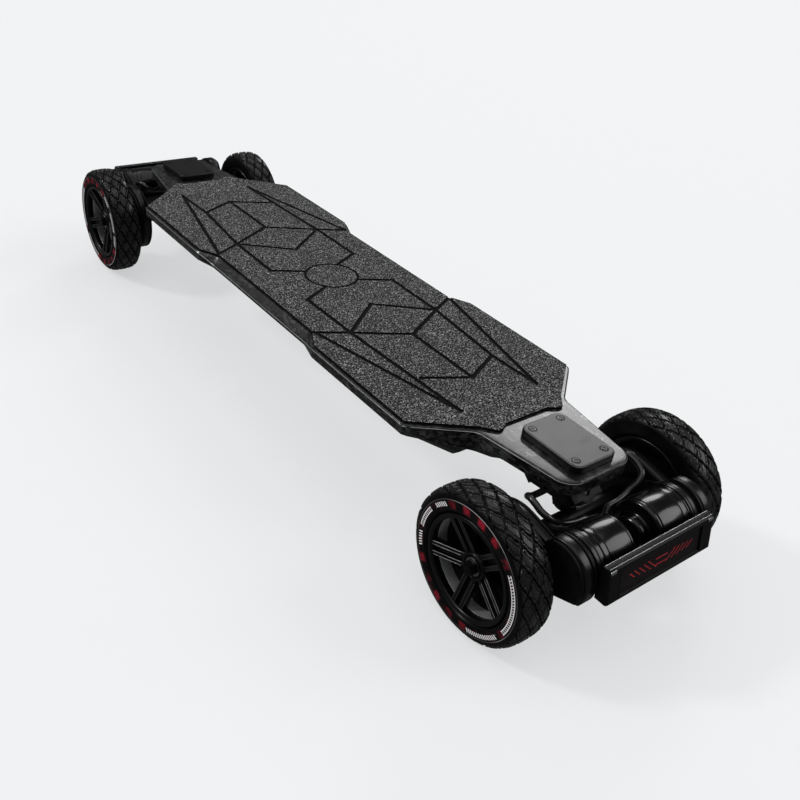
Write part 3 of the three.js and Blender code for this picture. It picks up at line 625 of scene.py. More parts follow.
@dataclass(frozen=True)
class CoverMetal(Finish):
    """A cover plate: a finely blasted face, lighter and metallic where it faces up as painted sheen,
    and black sides as painted shade.
    """

    # The face's lighter tone is a painted sheen, the rim's black a painted shade of the sides.
    face: Colour = (0.052, 0.052, 0.053)
    rim: Colour = (0.0025, 0.0025, 0.0028)
    metal: float = 0.75

    def paint(self, graph: Graph) -> None:
        """What faces up is the face; the upright of the normal tells the two apart, so the face's
        lighter tone is painted sheen and the sides' black painted shade.
        """
        where = graph.place
        grain = graph.noise(where, 1500.0, 3.0, 0.6)
        slow = graph.noise(where, 45.0, 4.0, 0.55)
        streaks = graph.stretched(where, (30.0, 220.0, 30.0))
        rub = graph.noise(streaks, 1.0, 5.0, 0.7).step(0.5, 0.85)
        # 1 where the surface faces up: painted sheen on the face, painted shade on the sides.
        up = graph.parts(graph.facing)[2].step(0.55, 0.9)
        light = tuple(c * 1.3 for c in self.face)
        face = graph.mix(slow.step(0.35, 0.7) * 0.6 + rub * 0.25, self.face, light)
        graph.coat(
            base_color=graph.mix(up, self.rim, face),
            roughness=slow.spread(0.3, 0.4) + rub * 0.06,
            metallic=up * self.metal,
            specular_ior_level=0.3,
            normal=graph.bump(grain, 0.012 * MM),
        )


@dataclass(frozen=True)
class Brushed(Finish):
    """Turned or brushed bare metal, with fine marks round the X axis."""

    colour: Colour = (0.5, 0.51, 0.52)
    rough: float = 0.28

    def paint(self, graph: Graph) -> None:
        """Marks run across X, so the noise is squeezed along X."""
        where = graph.place
        marks = graph.noise(graph.stretched(where, (3200.0, 90.0, 90.0)), 1.0, 3.0, 0.6)
        stain = graph.noise(where, 60.0, 4.0, 0.6)
        dark = tuple(c * 0.6 for c in self.colour)
        graph.coat(
            base_color=graph.mix(stain.step(0.4, 0.7), self.colour, dark),
            roughness=marks.spread(self.rough * 0.7, self.rough * 1.4),
            metallic=1.0,
            normal=graph.bump(marks, 0.015 * MM),
        )


@dataclass(frozen=True)
class ForgedCarbon(Finish):
    """Chopped carbon tows under a clear coat: flat flecks, each with its own shade and lay."""

    dark: Colour = (0.0025, 0.0025, 0.003)
    light: Colour = (0.085, 0.086, 0.09)
    wide_scale: float = 240.0
    small_scale: float = 420.0

    def paint(self, graph: Graph) -> None:
        """Flecks are stretched cells stirred by noise; what faces up shows them less, a painted shade
        on the top.
        """
        where = graph.place
        stir = graph.node(
            "ShaderNodeTexNoise", sockets={"Vector": where, "Scale": 60.0, "Detail": 3.0}
        ).outputs[1]
        shift = graph.node(
            "ShaderNodeVectorMath", {"operation": "MULTIPLY_ADD"},
            {0: stir, 1: (0.012, 0.012, 0.012), 2: where},
        ).outputs[0]
        long_way = graph.stretched(shift, (1.0, 0.45, 1.6), (0.3, 0.2, 0.5))
        short_way = graph.stretched(shift, (0.5, 1.0, 1.3), (0.2, 0.5, -0.6))
        wide = graph.cells(long_way, self.wide_scale, "Color")
        small = graph.cells(short_way, self.small_scale, "Color")
        threads = graph.stretched(shift, (900.0, 120.0, 500.0), (0.0, 0.0, 0.7))
        tow = graph.noise(threads, 1.0, 2.0, 0.5)
        fleck = wide.step(0.5, 0.95) * 0.8 + small.step(0.62, 1.0) * 0.5
        fleck = fleck * tow.spread(0.45, 1.15)
        # Dims the flecks where the surface faces up: painted shade on the top.
        painted_top_shade = graph.parts(graph.facing)[2].step(0.8, 0.98)
        graph.coat(
            base_color=graph.mix(fleck * (1.0 - painted_top_shade * 0.2), self.dark, self.light),
            roughness=fleck.spread(0.42, 0.24),
            metallic=fleck.math("MINIMUM", 1.0) * 0.6,
            specular_ior_level=0.2,
            coat_weight=0.6,
            coat_roughness=0.13,
            normal=graph.bump(wide * 0.6 + small * 0.4, 0.05 * MM, 0.5),
        )


@dataclass(frozen=True)
class GritSheet(Finish):
    """Anti-slip sheet: sparkling grit on top, plain black in its grooves and down its sides."""

    dark: Colour = (0.004, 0.004, 0.004)
    light: Colour = (0.5, 0.5, 0.503)
    clump_scale: float = 620.0
    grain_scale: float = 780.0
    groove_level: float = 152.5 * MM

    def paint(self, graph: Graph) -> None:
        """Grains are small cells in clumps, shown where the sheet faces up above its grooves."""
        where = graph.place
        clumps = graph.noise(where, self.clump_scale, 4.0, 0.85)
        grains = graph.cells(where, self.grain_scale, "Color")
        drift = graph.noise(where, 14.0, 3.0, 0.5)
        level, soft = self.groove_level, 0.2 * MM
        above = graph.parts(where)[2].step(level - soft, level + soft)
        top = above * graph.parts(graph.facing)[2].step(0.6, 0.9)
        grit = clumps.step(0.51, 0.63) * 0.58 + grains.step(0.68, 0.9) * 0.6
        grit = grit * drift.spread(0.8, 1.05) * top
        graph.coat(
            base_color=graph.mix(grit.math("MINIMUM", 1.0), self.dark, self.light),
            roughness=grit.spread(0.9, 0.7).math("MAXIMUM", 0.5),
            metallic=0.0,
            specular_ior_level=0.12,
            normal=graph.bump(clumps * 0.6 + grains * 0.4, 0.3 * MM, 0.5),
        )


@dataclass(frozen=True)
class TyreRubber(Finish):
    """Tyre rubber with a printed ring on its wall, read from the wheel's own place attribute."""

    black: Colour = (0.0015, 0.0015, 0.0017)
    # Tone of the raised tread blocks: worn rubber; the blacker grooves and shoulders are painted
    # shade.
    block: Colour = (0.012, 0.012, 0.0125)
    red: Colour = (0.27, 0.004, 0.018)
    white: Colour = (0.75, 0.73, 0.73)
    red_inner: float = 61.5 * MM
    red_outer: float = 68.2 * MM
    line_radius: float = 69.6 * MM
    marks_inner: float = 63.0 * MM
    marks_outer: float = 67.4 * MM
    # Where hatched groups and outlined bars start and stop, in turns
    hatched_arcs: tuple = ((0.0, 0.043), (0.845, 0.889), (0.29, 0.4))
    outlined_arcs: tuple = ((0.912, 0.984), (0.43, 0.6))
    wall: float = 142.0 * MM
    # The tyre's middle plane, how far from it the crown is flat, and how fast it then bends
    middle: float = 124.0 * MM
    flat: float = 6.5 * MM
    crown_bend: float = 24.0
    pitches: float = 17.0

    def paint(self, graph: Graph) -> None:
        """The ring is painted by radius r = sqrt(v^2 + z^2) and turn a = atan2(z, v)."""
        across, outboard, up = graph.parts(graph.attribute("wheel_place"))
        radius = (outboard * outboard + up * up).math("SQRT")
        turn = up.math("ARCTAN2", outboard) / FULL_TURN + 0.5
        outer = across.step(self.wall - 0.4 * MM, self.wall + 0.4 * MM)
        where = graph.place
        dashes = abs(turn.beat(20.0) - 0.5).step(0.3, 0.14)
        mottle = graph.noise(where, 95.0, 3.0, 0.6)
        strip = radius.band(self.red_inner, self.red_outer, 1.3 * MM) * outer
        glow = graph.noise(where, 26.0, 2.0, 0.5).step(0.36, 0.66).spread(0.25, 1.1)
        red = strip * (dashes * mottle.step(0.25, 0.7) * glow + mottle.step(0.5, 0.75) * 0.1)
        line = radius.band(self.line_radius, self.line_radius + 0.35 * MM, 0.2 * MM) * outer
        line = line * graph.noise(where, 9.0, 1.0, 0.5).step(0.42, 0.58).spread(0.12, 0.9)
        slant = turn - radius * 0.9
        hatch = abs(slant.beat(135.0) - 0.5).step(0.27, 0.2)
        belt = radius.band(self.marks_inner, self.marks_outer, 0.2 * MM) * outer
        groups, bars = (
            sum(turn.band(start, stop, 0.001) for start, stop in arcs)
            for arcs in (self.hatched_arcs, self.outlined_arcs)
        )
        rim = 1.0 - radius.band(self.marks_inner + 0.8 * MM, self.marks_outer - 0.8 * MM, 0.15 * MM)
        printed = belt * (groups * hatch + bars * (rim + hatch * 0.6)).math("MINIMUM", 1.0)
        print_mask = (printed + line * 0.8).math("MINIMUM", 1.0)
        red = red * (1.0 - (groups + bars).math("MINIMUM", 1.0) * 0.8)
        grain = graph.noise(where, 700.0, 4.0, 0.65)
        worn = graph.noise(where, 45.0, 4.0, 0.6).step(0.35, 0.8)
        past = (abs(across - self.middle) - self.flat).math("MAXIMUM", 0.0)
        crown = radius + past * past * self.crown_bend
        lifted = crown.step(77.7 * MM, 78.8 * MM) * radius.step(74.0 * MM, 75.5 * MM)
        slope = turn * self.pitches * 9.0 + across * 420.0
        ribs = abs(slope.math("FRACT") - 0.5).step(0.16, 0.26)
        ribbed = abs((turn * self.pitches).math("FRACT") - 0.5).step(0.22, 0.28) * lifted
        # Blocks lighter than grooves and shoulders: worn rubber on the blocks, painted shade in the
        # grooves and on the shoulders.
        shade = (worn * 0.25 + lifted * 0.75) * (1.0 - ribbed * (1.0 - ribs) * 0.75)
        rubber = graph.mix(shade, self.black, self.block)
        colour = graph.mix(print_mask, graph.mix(red, rubber, self.red), self.white)
        graph.coat(
            base_color=colour,
            roughness=grain.spread(0.34, 0.54) - print_mask * 0.05,
            metallic=0.0,
            specular_ior_level=0.1,
            coat_weight=shade * grain.spread(0.5, 1.0),
            coat_roughness=0.26,
            normal=graph.bump(grain, 0.05 * MM, 0.6),
        )


class Look:
    """Every finish of the board."""

    CARBON = ForgedCarbon("forged_carbon")
    GRIP = GritSheet("grip_grit")
    CASING = Coated(
        "moulded_casing", (0.006, 0.006, 0.0065), rough=0.42, grain=1400.0, depth=0.04 * MM,
    )
    GLOSS = Coated(
        "gloss_black", (0.0012, 0.0012, 0.0014), rough=0.19, grain=600.0, depth=0.002 * MM,
        clear=0.2, wear=0.02,
    )
    SATIN = Coated(
        "satin_black", (0.0018, 0.0018, 0.002), rough=0.28, grain=1300.0, depth=0.006 * MM,
        clear=0.05, wear=0.05,
    )
    PLATE = CoverMetal("plate_grey")
    PLATE_BLACK = CoverMetal("plate_black", (0.01, 0.01, 0.0105), metal=0.4)
    DARK = Coated(
        "matte_black", (0.0015, 0.0015, 0.0016), rough=0.42, grain=1100.0, depth=0.015 * MM,
        wear=0.05, shine=0.16,
    )
    HUB = Coated(
        "hub_paint", (0.0014, 0.0014, 0.0016), grain=1200.0, depth=0.006 * MM, clear=0.05,
        wear=0.05, shine=0.25,
    )
    # Painted sheen: the light grey skin over the hubs' barrels.
    LIP = Coated(
        "hub_lip", (0.2, 0.2, 0.202), rough=0.36, metal=0.3, grain=1300.0, depth=0.01 * MM,
        wear=0.05, shine=0.4,
    )
    STEEL = Brushed("bare_steel")
    # Bright metal of the nut washers, and the painted highlights on the cover screws' rims and along
    # the guard's top edges.
    EDGE = Brushed("bright_edge", (0.32, 0.32, 0.33), rough=0.3)
    # Painted highlight along the edges of the hub's ribs.
    RIB_LINE = Brushed("rib_line", (0.22, 0.22, 0.223), rough=0.4)
    # Painted highlight: the light line along the deck's upper edges.
    EDGE_LINE = Coated(
        "edge_line", (0.3, 0.3, 0.305), rough=0.25, metal=0.5, depth=0.004 * MM, clear=0.6,
        wear=0.05, shine=0.5,
    )
    SCREW = Brushed("screw_steel", (0.02, 0.02, 0.021), rough=0.32)
    URETHANE = Coated("urethane", (0.008, 0.008, 0.0085), rough=0.5, grain=500.0)
    SHEATH = Coated("cable_sheath", (0.003, 0.003, 0.0035), clear=0.2, wear=0.05, shine=0.5)
    RUBBER = TyreRubber("tyre_rubber")
    RED = Coated("lamp_red", (0.22, 0.004, 0.008), rough=0.35, clear=0.2)
    LENS = Coated(
        "lamp_panel", (0.004, 0.0025, 0.003), rough=0.34, grain=1500.0, depth=0.01 * MM,
        wear=0.04, shine=0.15,
    )
    CELLS = Coated("cell_wrap", (0.03, 0.07, 0.16), rough=0.45, grain=300.0, depth=0.05 * MM)
    BOARD = Coated("potting", (0.01, 0.05, 0.025), rough=0.4, grain=400.0, depth=0.05 * MM)


# Pieces


def mesh_of(name: str, skins: Sequence[Skin]) -> bpy.types.Mesh:
    """A new mesh that holds several skins."""
    sizes = np.cumsum([0] + [len(s.points) for s in skins[:-1]]).tolist()
    faces = [[i + start for i in f] for s, start in zip(skins, sizes) for f in s.faces]
    mesh = bpy.data.meshes.new(name)
    mesh.from_pydata(np.vstack([s.points for s in skins]).tolist(), [], faces)
    return mesh


def in_scene(name: str, data: bpy.types.ID) -> bpy.types.Object:
    """A new object that is linked to the scene."""
    made = bpy.data.objects.new(name, data)
    bpy.context.scene.collection.objects.link(made)
    return made


class Workshop:
    """Makes finished pieces and keeps count of them."""

    def __init__(self, frame: dict) -> None:
        """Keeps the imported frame.
        """
        self.frame = frame
        self.made = 0

    def piece(self, name: str, skins: Sequence[Skin], finish: Finish, body: str,
              replaces: Sequence[str] = (), slot: str = "", smooth: float = 32.0,
              wheel: Place | None = None) -> bpy.types.Object:
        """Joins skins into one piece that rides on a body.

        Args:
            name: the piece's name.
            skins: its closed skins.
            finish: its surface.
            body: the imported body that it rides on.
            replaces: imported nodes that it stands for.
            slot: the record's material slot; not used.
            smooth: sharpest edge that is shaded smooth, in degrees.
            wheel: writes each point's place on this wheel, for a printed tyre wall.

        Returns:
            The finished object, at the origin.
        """
        mesh = mesh_of(name, skins)
        self._weld(mesh)
        if wheel:
            self._mark(mesh, wheel)
        return self._finish(name, mesh, finish, body, replaces, slot, smooth)

    @staticmethod
    def _weld(mesh: bpy.types.Mesh) -> None:
        """Merges points that share a place, which closes poles and rounds of no radius."""
        work = bmesh.new()
        work.from_mesh(mesh)
        bmesh.ops.remove_doubles(work, verts=work.verts, dist=WELD)
        work.to_mesh(mesh)
        work.free()

    @staticmethod
    def _mark(mesh: bpy.types.Mesh, wheel: Place) -> None:
        """Writes each point's place as seen from the axle to the attribute wheel_place."""
        flat = np.zeros(len(mesh.vertices) * 3, np.float32)
        mesh.vertices.foreach_get("co", flat)
        seen = wheel.local(flat.reshape(-1, 3)).astype(np.float32)
        kept = mesh.attributes.new("wheel_place", "FLOAT_VECTOR", "POINT")
        kept.data.foreach_set("vector", seen.ravel())

    def _finish(self, name: str, mesh: bpy.types.Mesh, finish: Finish, body: str,
                replaces: Sequence[str], slot: str, smooth: float) -> bpy.types.Object:
        """Shades, dresses and seats a mesh; the arguments are those of piece()."""
        mesh.validate()
        mesh.shade_smooth()
        mesh.set_sharp_from_angle(angle=math.radians(smooth))
        mesh.materials.append(finish.material())
        made = in_scene(name, mesh)
        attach(made, body)
        if replaces:
            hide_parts(*replaces)
        self.made += 1
        LOG.info("piece %s: %d faces on %s", name, len(mesh.polygons), body)
        return made

    def softened(self, node: str, finish: Finish, body: str, edge: float, slot: str = "",
                 turn: float = 24.0) -> bpy.types.Object:
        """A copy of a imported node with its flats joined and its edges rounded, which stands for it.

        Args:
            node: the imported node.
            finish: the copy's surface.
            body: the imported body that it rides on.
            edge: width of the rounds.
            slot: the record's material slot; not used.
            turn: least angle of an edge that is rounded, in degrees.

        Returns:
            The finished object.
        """
        work = bmesh.new()
        work.from_mesh(self.frame["nodes"][node].data)
        bmesh.ops.remove_doubles(work, verts=work.verts, dist=10 * WELD)
        bmesh.ops.dissolve_limit(
            work, angle_limit=math.radians(1.5), verts=work.verts, edges=work.edges
        )
        sharp = [
            e for e in work.edges
            if len(e.link_faces) == 2 and e.calc_face_angle(0) > math.radians(turn)
        ]
        bmesh.ops.bevel(
            work, geom=sharp, offset=edge, segments=2, profile=0.6, affect="EDGES",
            clamp_overlap=True,
        )
        mesh = bpy.data.meshes.new(f"{node}_soft")
        work.to_mesh(mesh)
        work.free()
        return self._finish(f"{node}_soft", mesh, finish, body, [node], slot, 30.0)

    def keep(self, node: str, finish: Finish) -> None:
        """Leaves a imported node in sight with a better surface."""
        slots = self.frame["nodes"][node].data.materials
        slots.clear()
        slots.append(finish.material())


@dataclass
class Bench:
    """One corner's or truck's place in the shop: it names, moves and rides that place's pieces."""

    shop: Workshop
    word: str
    world: Callable[[np.ndarray], np.ndarray]
    body: str

    def put(self, name: str, skins: Sequence[Skin], finish: Finish, node: str, slot: str,
            on: str = "", **options: object) -> None:
        """Makes one piece.

        Args:
            name: the piece's name after the place's word.
            skins: its skins in the place's own frame.
            finish: what it is dressed in.
            node: the CAD node that it stands for, or nothing.
            slot: its material slot; not used.
            on: the body that it rides on, where that isn't the place's own.
            options: what else Workshop.piece takes.
        """
        self.shop.piece(f"{self.word}_{name}", [s.moved(self.world) for s in skins], finish,
                        on or self.body, [f"{self.word}_{node}"] if node else [], slot, **options)


# Deck


@dataclass
class Deck:
    """Carbon deck, grip sheet and cover plates."""

    top: float = 150.3 * MM
    rise: float = 2.7 * MM
    end: float = 477 * MM
    corner: float = 22 * MM
    edge_round: float = 1.1 * MM
    end_round: float = 1.2 * MM
    blend: float = 2.0 * MM
    # Place along the board, half width and rise of the top, bevel run and drop, side, inset, depth
    stations: tuple = (
        (0, 104, 0, 8, 9, 13.5, 20, 16),
        (116, 104, 0, 8, 9, 13.5, 20, 16),
        (145, 119, 0, 1.4, 1.4, 12.5, 20, 16),
        (317, 119, 0, 1.4, 1.4, 12.5, 20, 16),
        (365, 61, 2.7, 1.4, 1.4, 22, 2, 23.5),
        (386, 58, 2.7, 1.4, 1.4, 17.25, 2, 18.25),
        (396, 56.4, 2.7, 1.4, 1.4, 12.5, 2, 13),
        (455, 47.4, 2.7, 1.4, 1.4, 12.5, 2, 13),
        (477, 47.4, 2.7, 1.4, 1.4, 12.5, 2, 13),
    )
    plate_half: tuple = (29 * MM, 40.5 * MM)
    plate_height: float = 8.2 * MM
    plate_gap: float = 0.3 * MM
    plate_corner: float = 11 * MM
    plate_place: float = 428 * MM
    screw_places: tuple = ((19.8 * MM, 397.6 * MM), (19.8 * MM, 457.2 * MM))
    screw_radius: float = 2.9 * MM
    # Outer radius of the black ring of painted shade round each cover screw.
    well_radius: float = 5.0 * MM
    # Radius of the tube that paints the highlight along the deck's upper edges.
    edge_line: float = 0.5 * MM
    pocket_radius: float = 13 * MM
    pocket_depth: float = 9 * MM
    pocket_place: tuple = (32 * MM, -6 * MM)
    neck_depth: float = 13 * MM

    def sizes_at(self, along: np.ndarray) -> np.ndarray:
        """The section's seven sizes at places along the board, as the mean over a short blend.

        Args:
            along: distances from the board's middle.

        Returns:
            Array of shape (7, places).
        """
        table = np.array(self.stations, float).T * MM
        offsets = np.linspace(-self.blend, self.blend, 7)[:, None]
        reach = np.minimum(np.abs(along)[None, :] + offsets, self.end)
        return np.stack([np.interp(reach, table[0], row).mean(axis=0) for row in table[1:]])

    def drawn_in(self, along: np.ndarray, radius: float) -> np.ndarray:
        """How far a round at the ends draws in: R - sqrt(R^2 - d^2), a way d past its start."""
        past = np.clip(np.abs(along) - (self.end - radius), 0, radius)
        return radius - np.sqrt(np.maximum(radius**2 - past**2, 0))

    def shell(self) -> Skin:
        """Sections of eight corners carried along the board.

        The half width draws in by the corner's round, and the whole section by the end's round.
        """
        stops = [0, 60, 110, 150, 160, 310, 325, 355, 400, 455]
        half = np.concatenate(
            [np.linspace(a, b, 1 + max(2, (b - a) // 4))[:-1] for a, b in zip(stops, stops[1:])]
            + [477 - 22 * (1 - np.sin(np.linspace(0, math.pi / 2, 33)))]
        ) * MM
        fine = self.end - self.end_round * (1 - np.sin(np.linspace(0, math.pi / 2, 6)))
        half = np.unique(np.round(np.concatenate([half, fine]), 7))
        along = np.concatenate([-half[:0:-1], half])
        top_half, rise, run, drop, side, inset, depth = self.sizes_at(along)
        shrink = self.drawn_in(along, self.end_round)
        wide = top_half - self.drawn_in(along, self.corner) - shrink
        right = [
            (wide, rise - shrink), (wide + run, rise - drop), (wide + run, -side),
            (wide + run - inset, -depth + shrink),
        ]
        corners = [*right, *[(-x, z) for x, z in reversed(right)]]
        section = np.stack([np.stack([x, self.top + z], axis=-1) for x, z in corners], axis=1)
        ring = rounded(section, self.edge_round, 4)
        points = np.stack(
            [ring[..., 0], np.broadcast_to(along[:, None], ring.shape[:2]), ring[..., 1]], axis=-1
        )
        return Skin.from_rings(points)

    def edge_lines(self) -> list[Skin]:
        """A thin light line round the shell's upper edge, as one run on each side: a painted
        highlight where the edge catches the light.

        It starts and ends on the middle line and lies 0.35 mm inside the edge's sharp corner.
        """
        bend = self.corner * (1 - np.sin(np.linspace(0, math.pi / 2, 14)))
        stops = np.array([0, 110, 150, 160, 310, 325, 355, 400, 455]) * MM
        half = np.unique(np.concatenate([stops, np.linspace(0, 455 * MM, 60), self.end - bend]))
        along = np.concatenate([-half[:0:-1], half])
        top_half, rise, run, drop, *_ = self.sizes_at(along)
        sunk = 0.35 * MM
        path = np.stack([
            top_half - self.drawn_in(along, self.corner) + run - sunk,
            np.clip(along, sunk - self.end, self.end - sunk),
            self.top + rise - drop - sunk,
        ], axis=-1)
        path = np.vstack([path[:1] * (0, 1, 1), path, path[-1:] * (0, 1, 1)])
        return [tube(path * (side.value, 1, 1), self.edge_line, 8) for side in Side]

    def pockets(self) -> list[Skin]:
        """Round pockets under the necks that leave room for the motor cables."""
        bottom = self.top - self.neck_depth
        levels = [bottom - 12 * MM, bottom + self.pocket_depth]
        rings = stacked([circle(48) * self.pocket_radius] * 2, levels)
        across, inboard = self.pocket_place
        return [
            Skin.from_rings(rings + np.array([x, end.value * (HALF_WHEELBASE + inboard), 0]))
            for end in End for x in (-across, across)
        ]

    def outline(self, inset: float, end: End) -> np.ndarray:
        """The cover's outline at one end, drawn in by a distance."""
        a, b = self.plate_half
        flat = rounded_box(a - inset, b - inset, self.plate_corner - inset, 8)
        return flat + np.array([0, end.value * self.plate_place])

    @property
    def seat(self) -> float:
        """Level of a cover's underside."""
        return self.top + self.rise + self.plate_gap

    def plate(self, end: End) -> Skin:
        """A cover with a shallow step round its face and rounded rims.

        The step lies 1.8 mm in from the rim and 0.35 mm below the face.
        """
        low, high = self.seat, self.seat + self.plate_height
        body = slab(lambda i: self.outline(i, end), low, high - 0.35 * MM, 1.0 * MM, 4)
        face = stacked(
            [self.outline(i * MM, end) for i in (1.8, 2.1)], [high - 0.35 * MM, high]
        )
        return Skin.from_rings(np.concatenate([body, face]))

    def screws(self, end: End) -> tuple[list[Skin], list[Skin], list[Skin]]:
        """A cover's four sunk screws, black rings of painted shade round them, and light rings of
        painted highlight on their heads' rims.
        """
        seat = self.seat + self.plate_height
        heads, painted_shade_rings, rims = [], [], []
        for side in Side:
            for x, y in self.screw_places:
                at = (side.value * x, end.value * y, seat)
                heads.append(socket_screw(at, (0, 0, 1), self.screw_radius, 0.25 * MM))
                # The first rings are black painted shade round each head, the second light painted
                # highlights on its rim.
                for kept, inner, outer, level in (
                    (painted_shade_rings, self.screw_radius - 0.6 * MM, self.well_radius, 0.14 * MM),
                    (rims, self.screw_radius - 0.25 * MM, self.screw_radius + 0.1 * MM, 0.3 * MM),
                ):
                    rings = stacked(
                        [circle(40) * r for r in (inner, outer, outer - 0.12 * MM, inner)],
                        [-0.4 * MM, -0.4 * MM, level, level],
                    )
                    kept.append(Skin.from_rings(rings + np.array(at), loop=True))
        return heads, painted_shade_rings, rims

    def build(self, shop: Workshop) -> None:
        """Makes and dresses the deck's pieces."""
        shell = shop.piece("deck_body", [self.shell()], Look.CARBON, "deck", ["deck_shell"],
                           "carbon")
        self.carve(shell)
        # A painted highlight along the shell's upper edges.
        shop.piece("deck_edge_line", self.edge_lines(), Look.EDGE_LINE, "deck", slot="carbon")
        shop.keep("grip_tape", Look.GRIP)
        # The covers are lighter where they face up, painted sheen, and black on their sides, painted
        # shade.
        for end, finish, slot in (
            (End.FRONT, Look.PLATE_BLACK, "black_metal"), (End.REAR, Look.PLATE, "satin_metal"),
        ):
            word = end.word
            shop.piece(f"{word}_cover_face", [self.plate(end)], finish, "deck",
                       [f"{word}_cover_plate"], slot)
            heads, painted_shade_rings, rims = self.screws(end)
            shop.piece(f"{word}_cover_screws", heads, Look.SCREW, "deck", slot="steel")
            # Black rings of painted shade round the screws, then light rings of painted highlight on
            # their rims.
            shop.piece(f"{word}_cover_wells", painted_shade_rings, Look.DARK, "deck", slot="black_metal")
            shop.piece(f"{word}_cover_screw_rims", rims, Look.EDGE, "deck", slot="steel")

    def carve(self, shell: bpy.types.Object) -> None:
        """Cuts the cable pockets out of the finished shell."""
        tool = in_scene("pocket_tool", mesh_of("pocket_tool", self.pockets()))
        cut = shell.modifiers.new("pockets", "BOOLEAN")
        cut.operation, cut.object, cut.solver = "DIFFERENCE", tool, "EXACT"
        bpy.context.view_layer.update()
        finished = shell.evaluated_get(bpy.context.evaluated_depsgraph_get())
        carved = bpy.data.meshes.new_from_object(finished)
        shell.modifiers.remove(cut)
        shell.data = carved
        carved.set_sharp_from_angle(angle=math.radians(32.0))
        bpy.data.objects.remove(tool)


@dataclass
class Enclosure:
    """Battery enclosure, its contents and its switch."""

    wall: float = 90 * MM
    bottom: float = 108 * MM
    button_place: tuple = (-232 * MM, 126.5 * MM)
    button_radius: float = 5 * MM
    screw_rows: tuple = (300 * MM, 200 * MM, 100 * MM, 0.0, -100 * MM, -200 * MM, -300 * MM)
    screw_across: float = 74 * MM

    def build(self, shop: Workshop) -> None:
        """Makes and dresses the enclosure's pieces."""
        shop.softened("enclosure_tub", Look.CASING, "deck", 1.6 * MM, "casing")
        shop.keep("battery_pack", Look.CELLS)
        shop.keep("motor_controller", Look.BOARD)
        screws = [
            socket_screw((side.value * self.screw_across, y, self.bottom), (0, 0, -1), 3.2 * MM,
                         0.2 * MM)
            for side in Side for y in self.screw_rows
        ]
        shop.piece("enclosure_screws", screws, Look.SCREW, "deck", slot="steel")
        shop.piece("power_button_cap", [self.button()], Look.RED, "power_switch", ["power_button"],
                   "accent")

    def button(self) -> Skin:
        """The power button: a domed cap with a dished middle, turned about an axis across."""
        steps = (
            (1.0, -4.2), (1.0, 1.1), (0.94, 1.45), (0.84, 1.6), (0.64, 1.6), (0.52, 1.2), (0.0, 1.2)
        )
        y, z = self.button_place
        rings = stacked(
            [circle(40) * self.button_radius * share for share, _ in steps],
            [self.wall + level * MM for _, level in steps],
        )
        return Skin.from_rings(crosswise(rings) + np.array([0, y, z]))


# Wheels


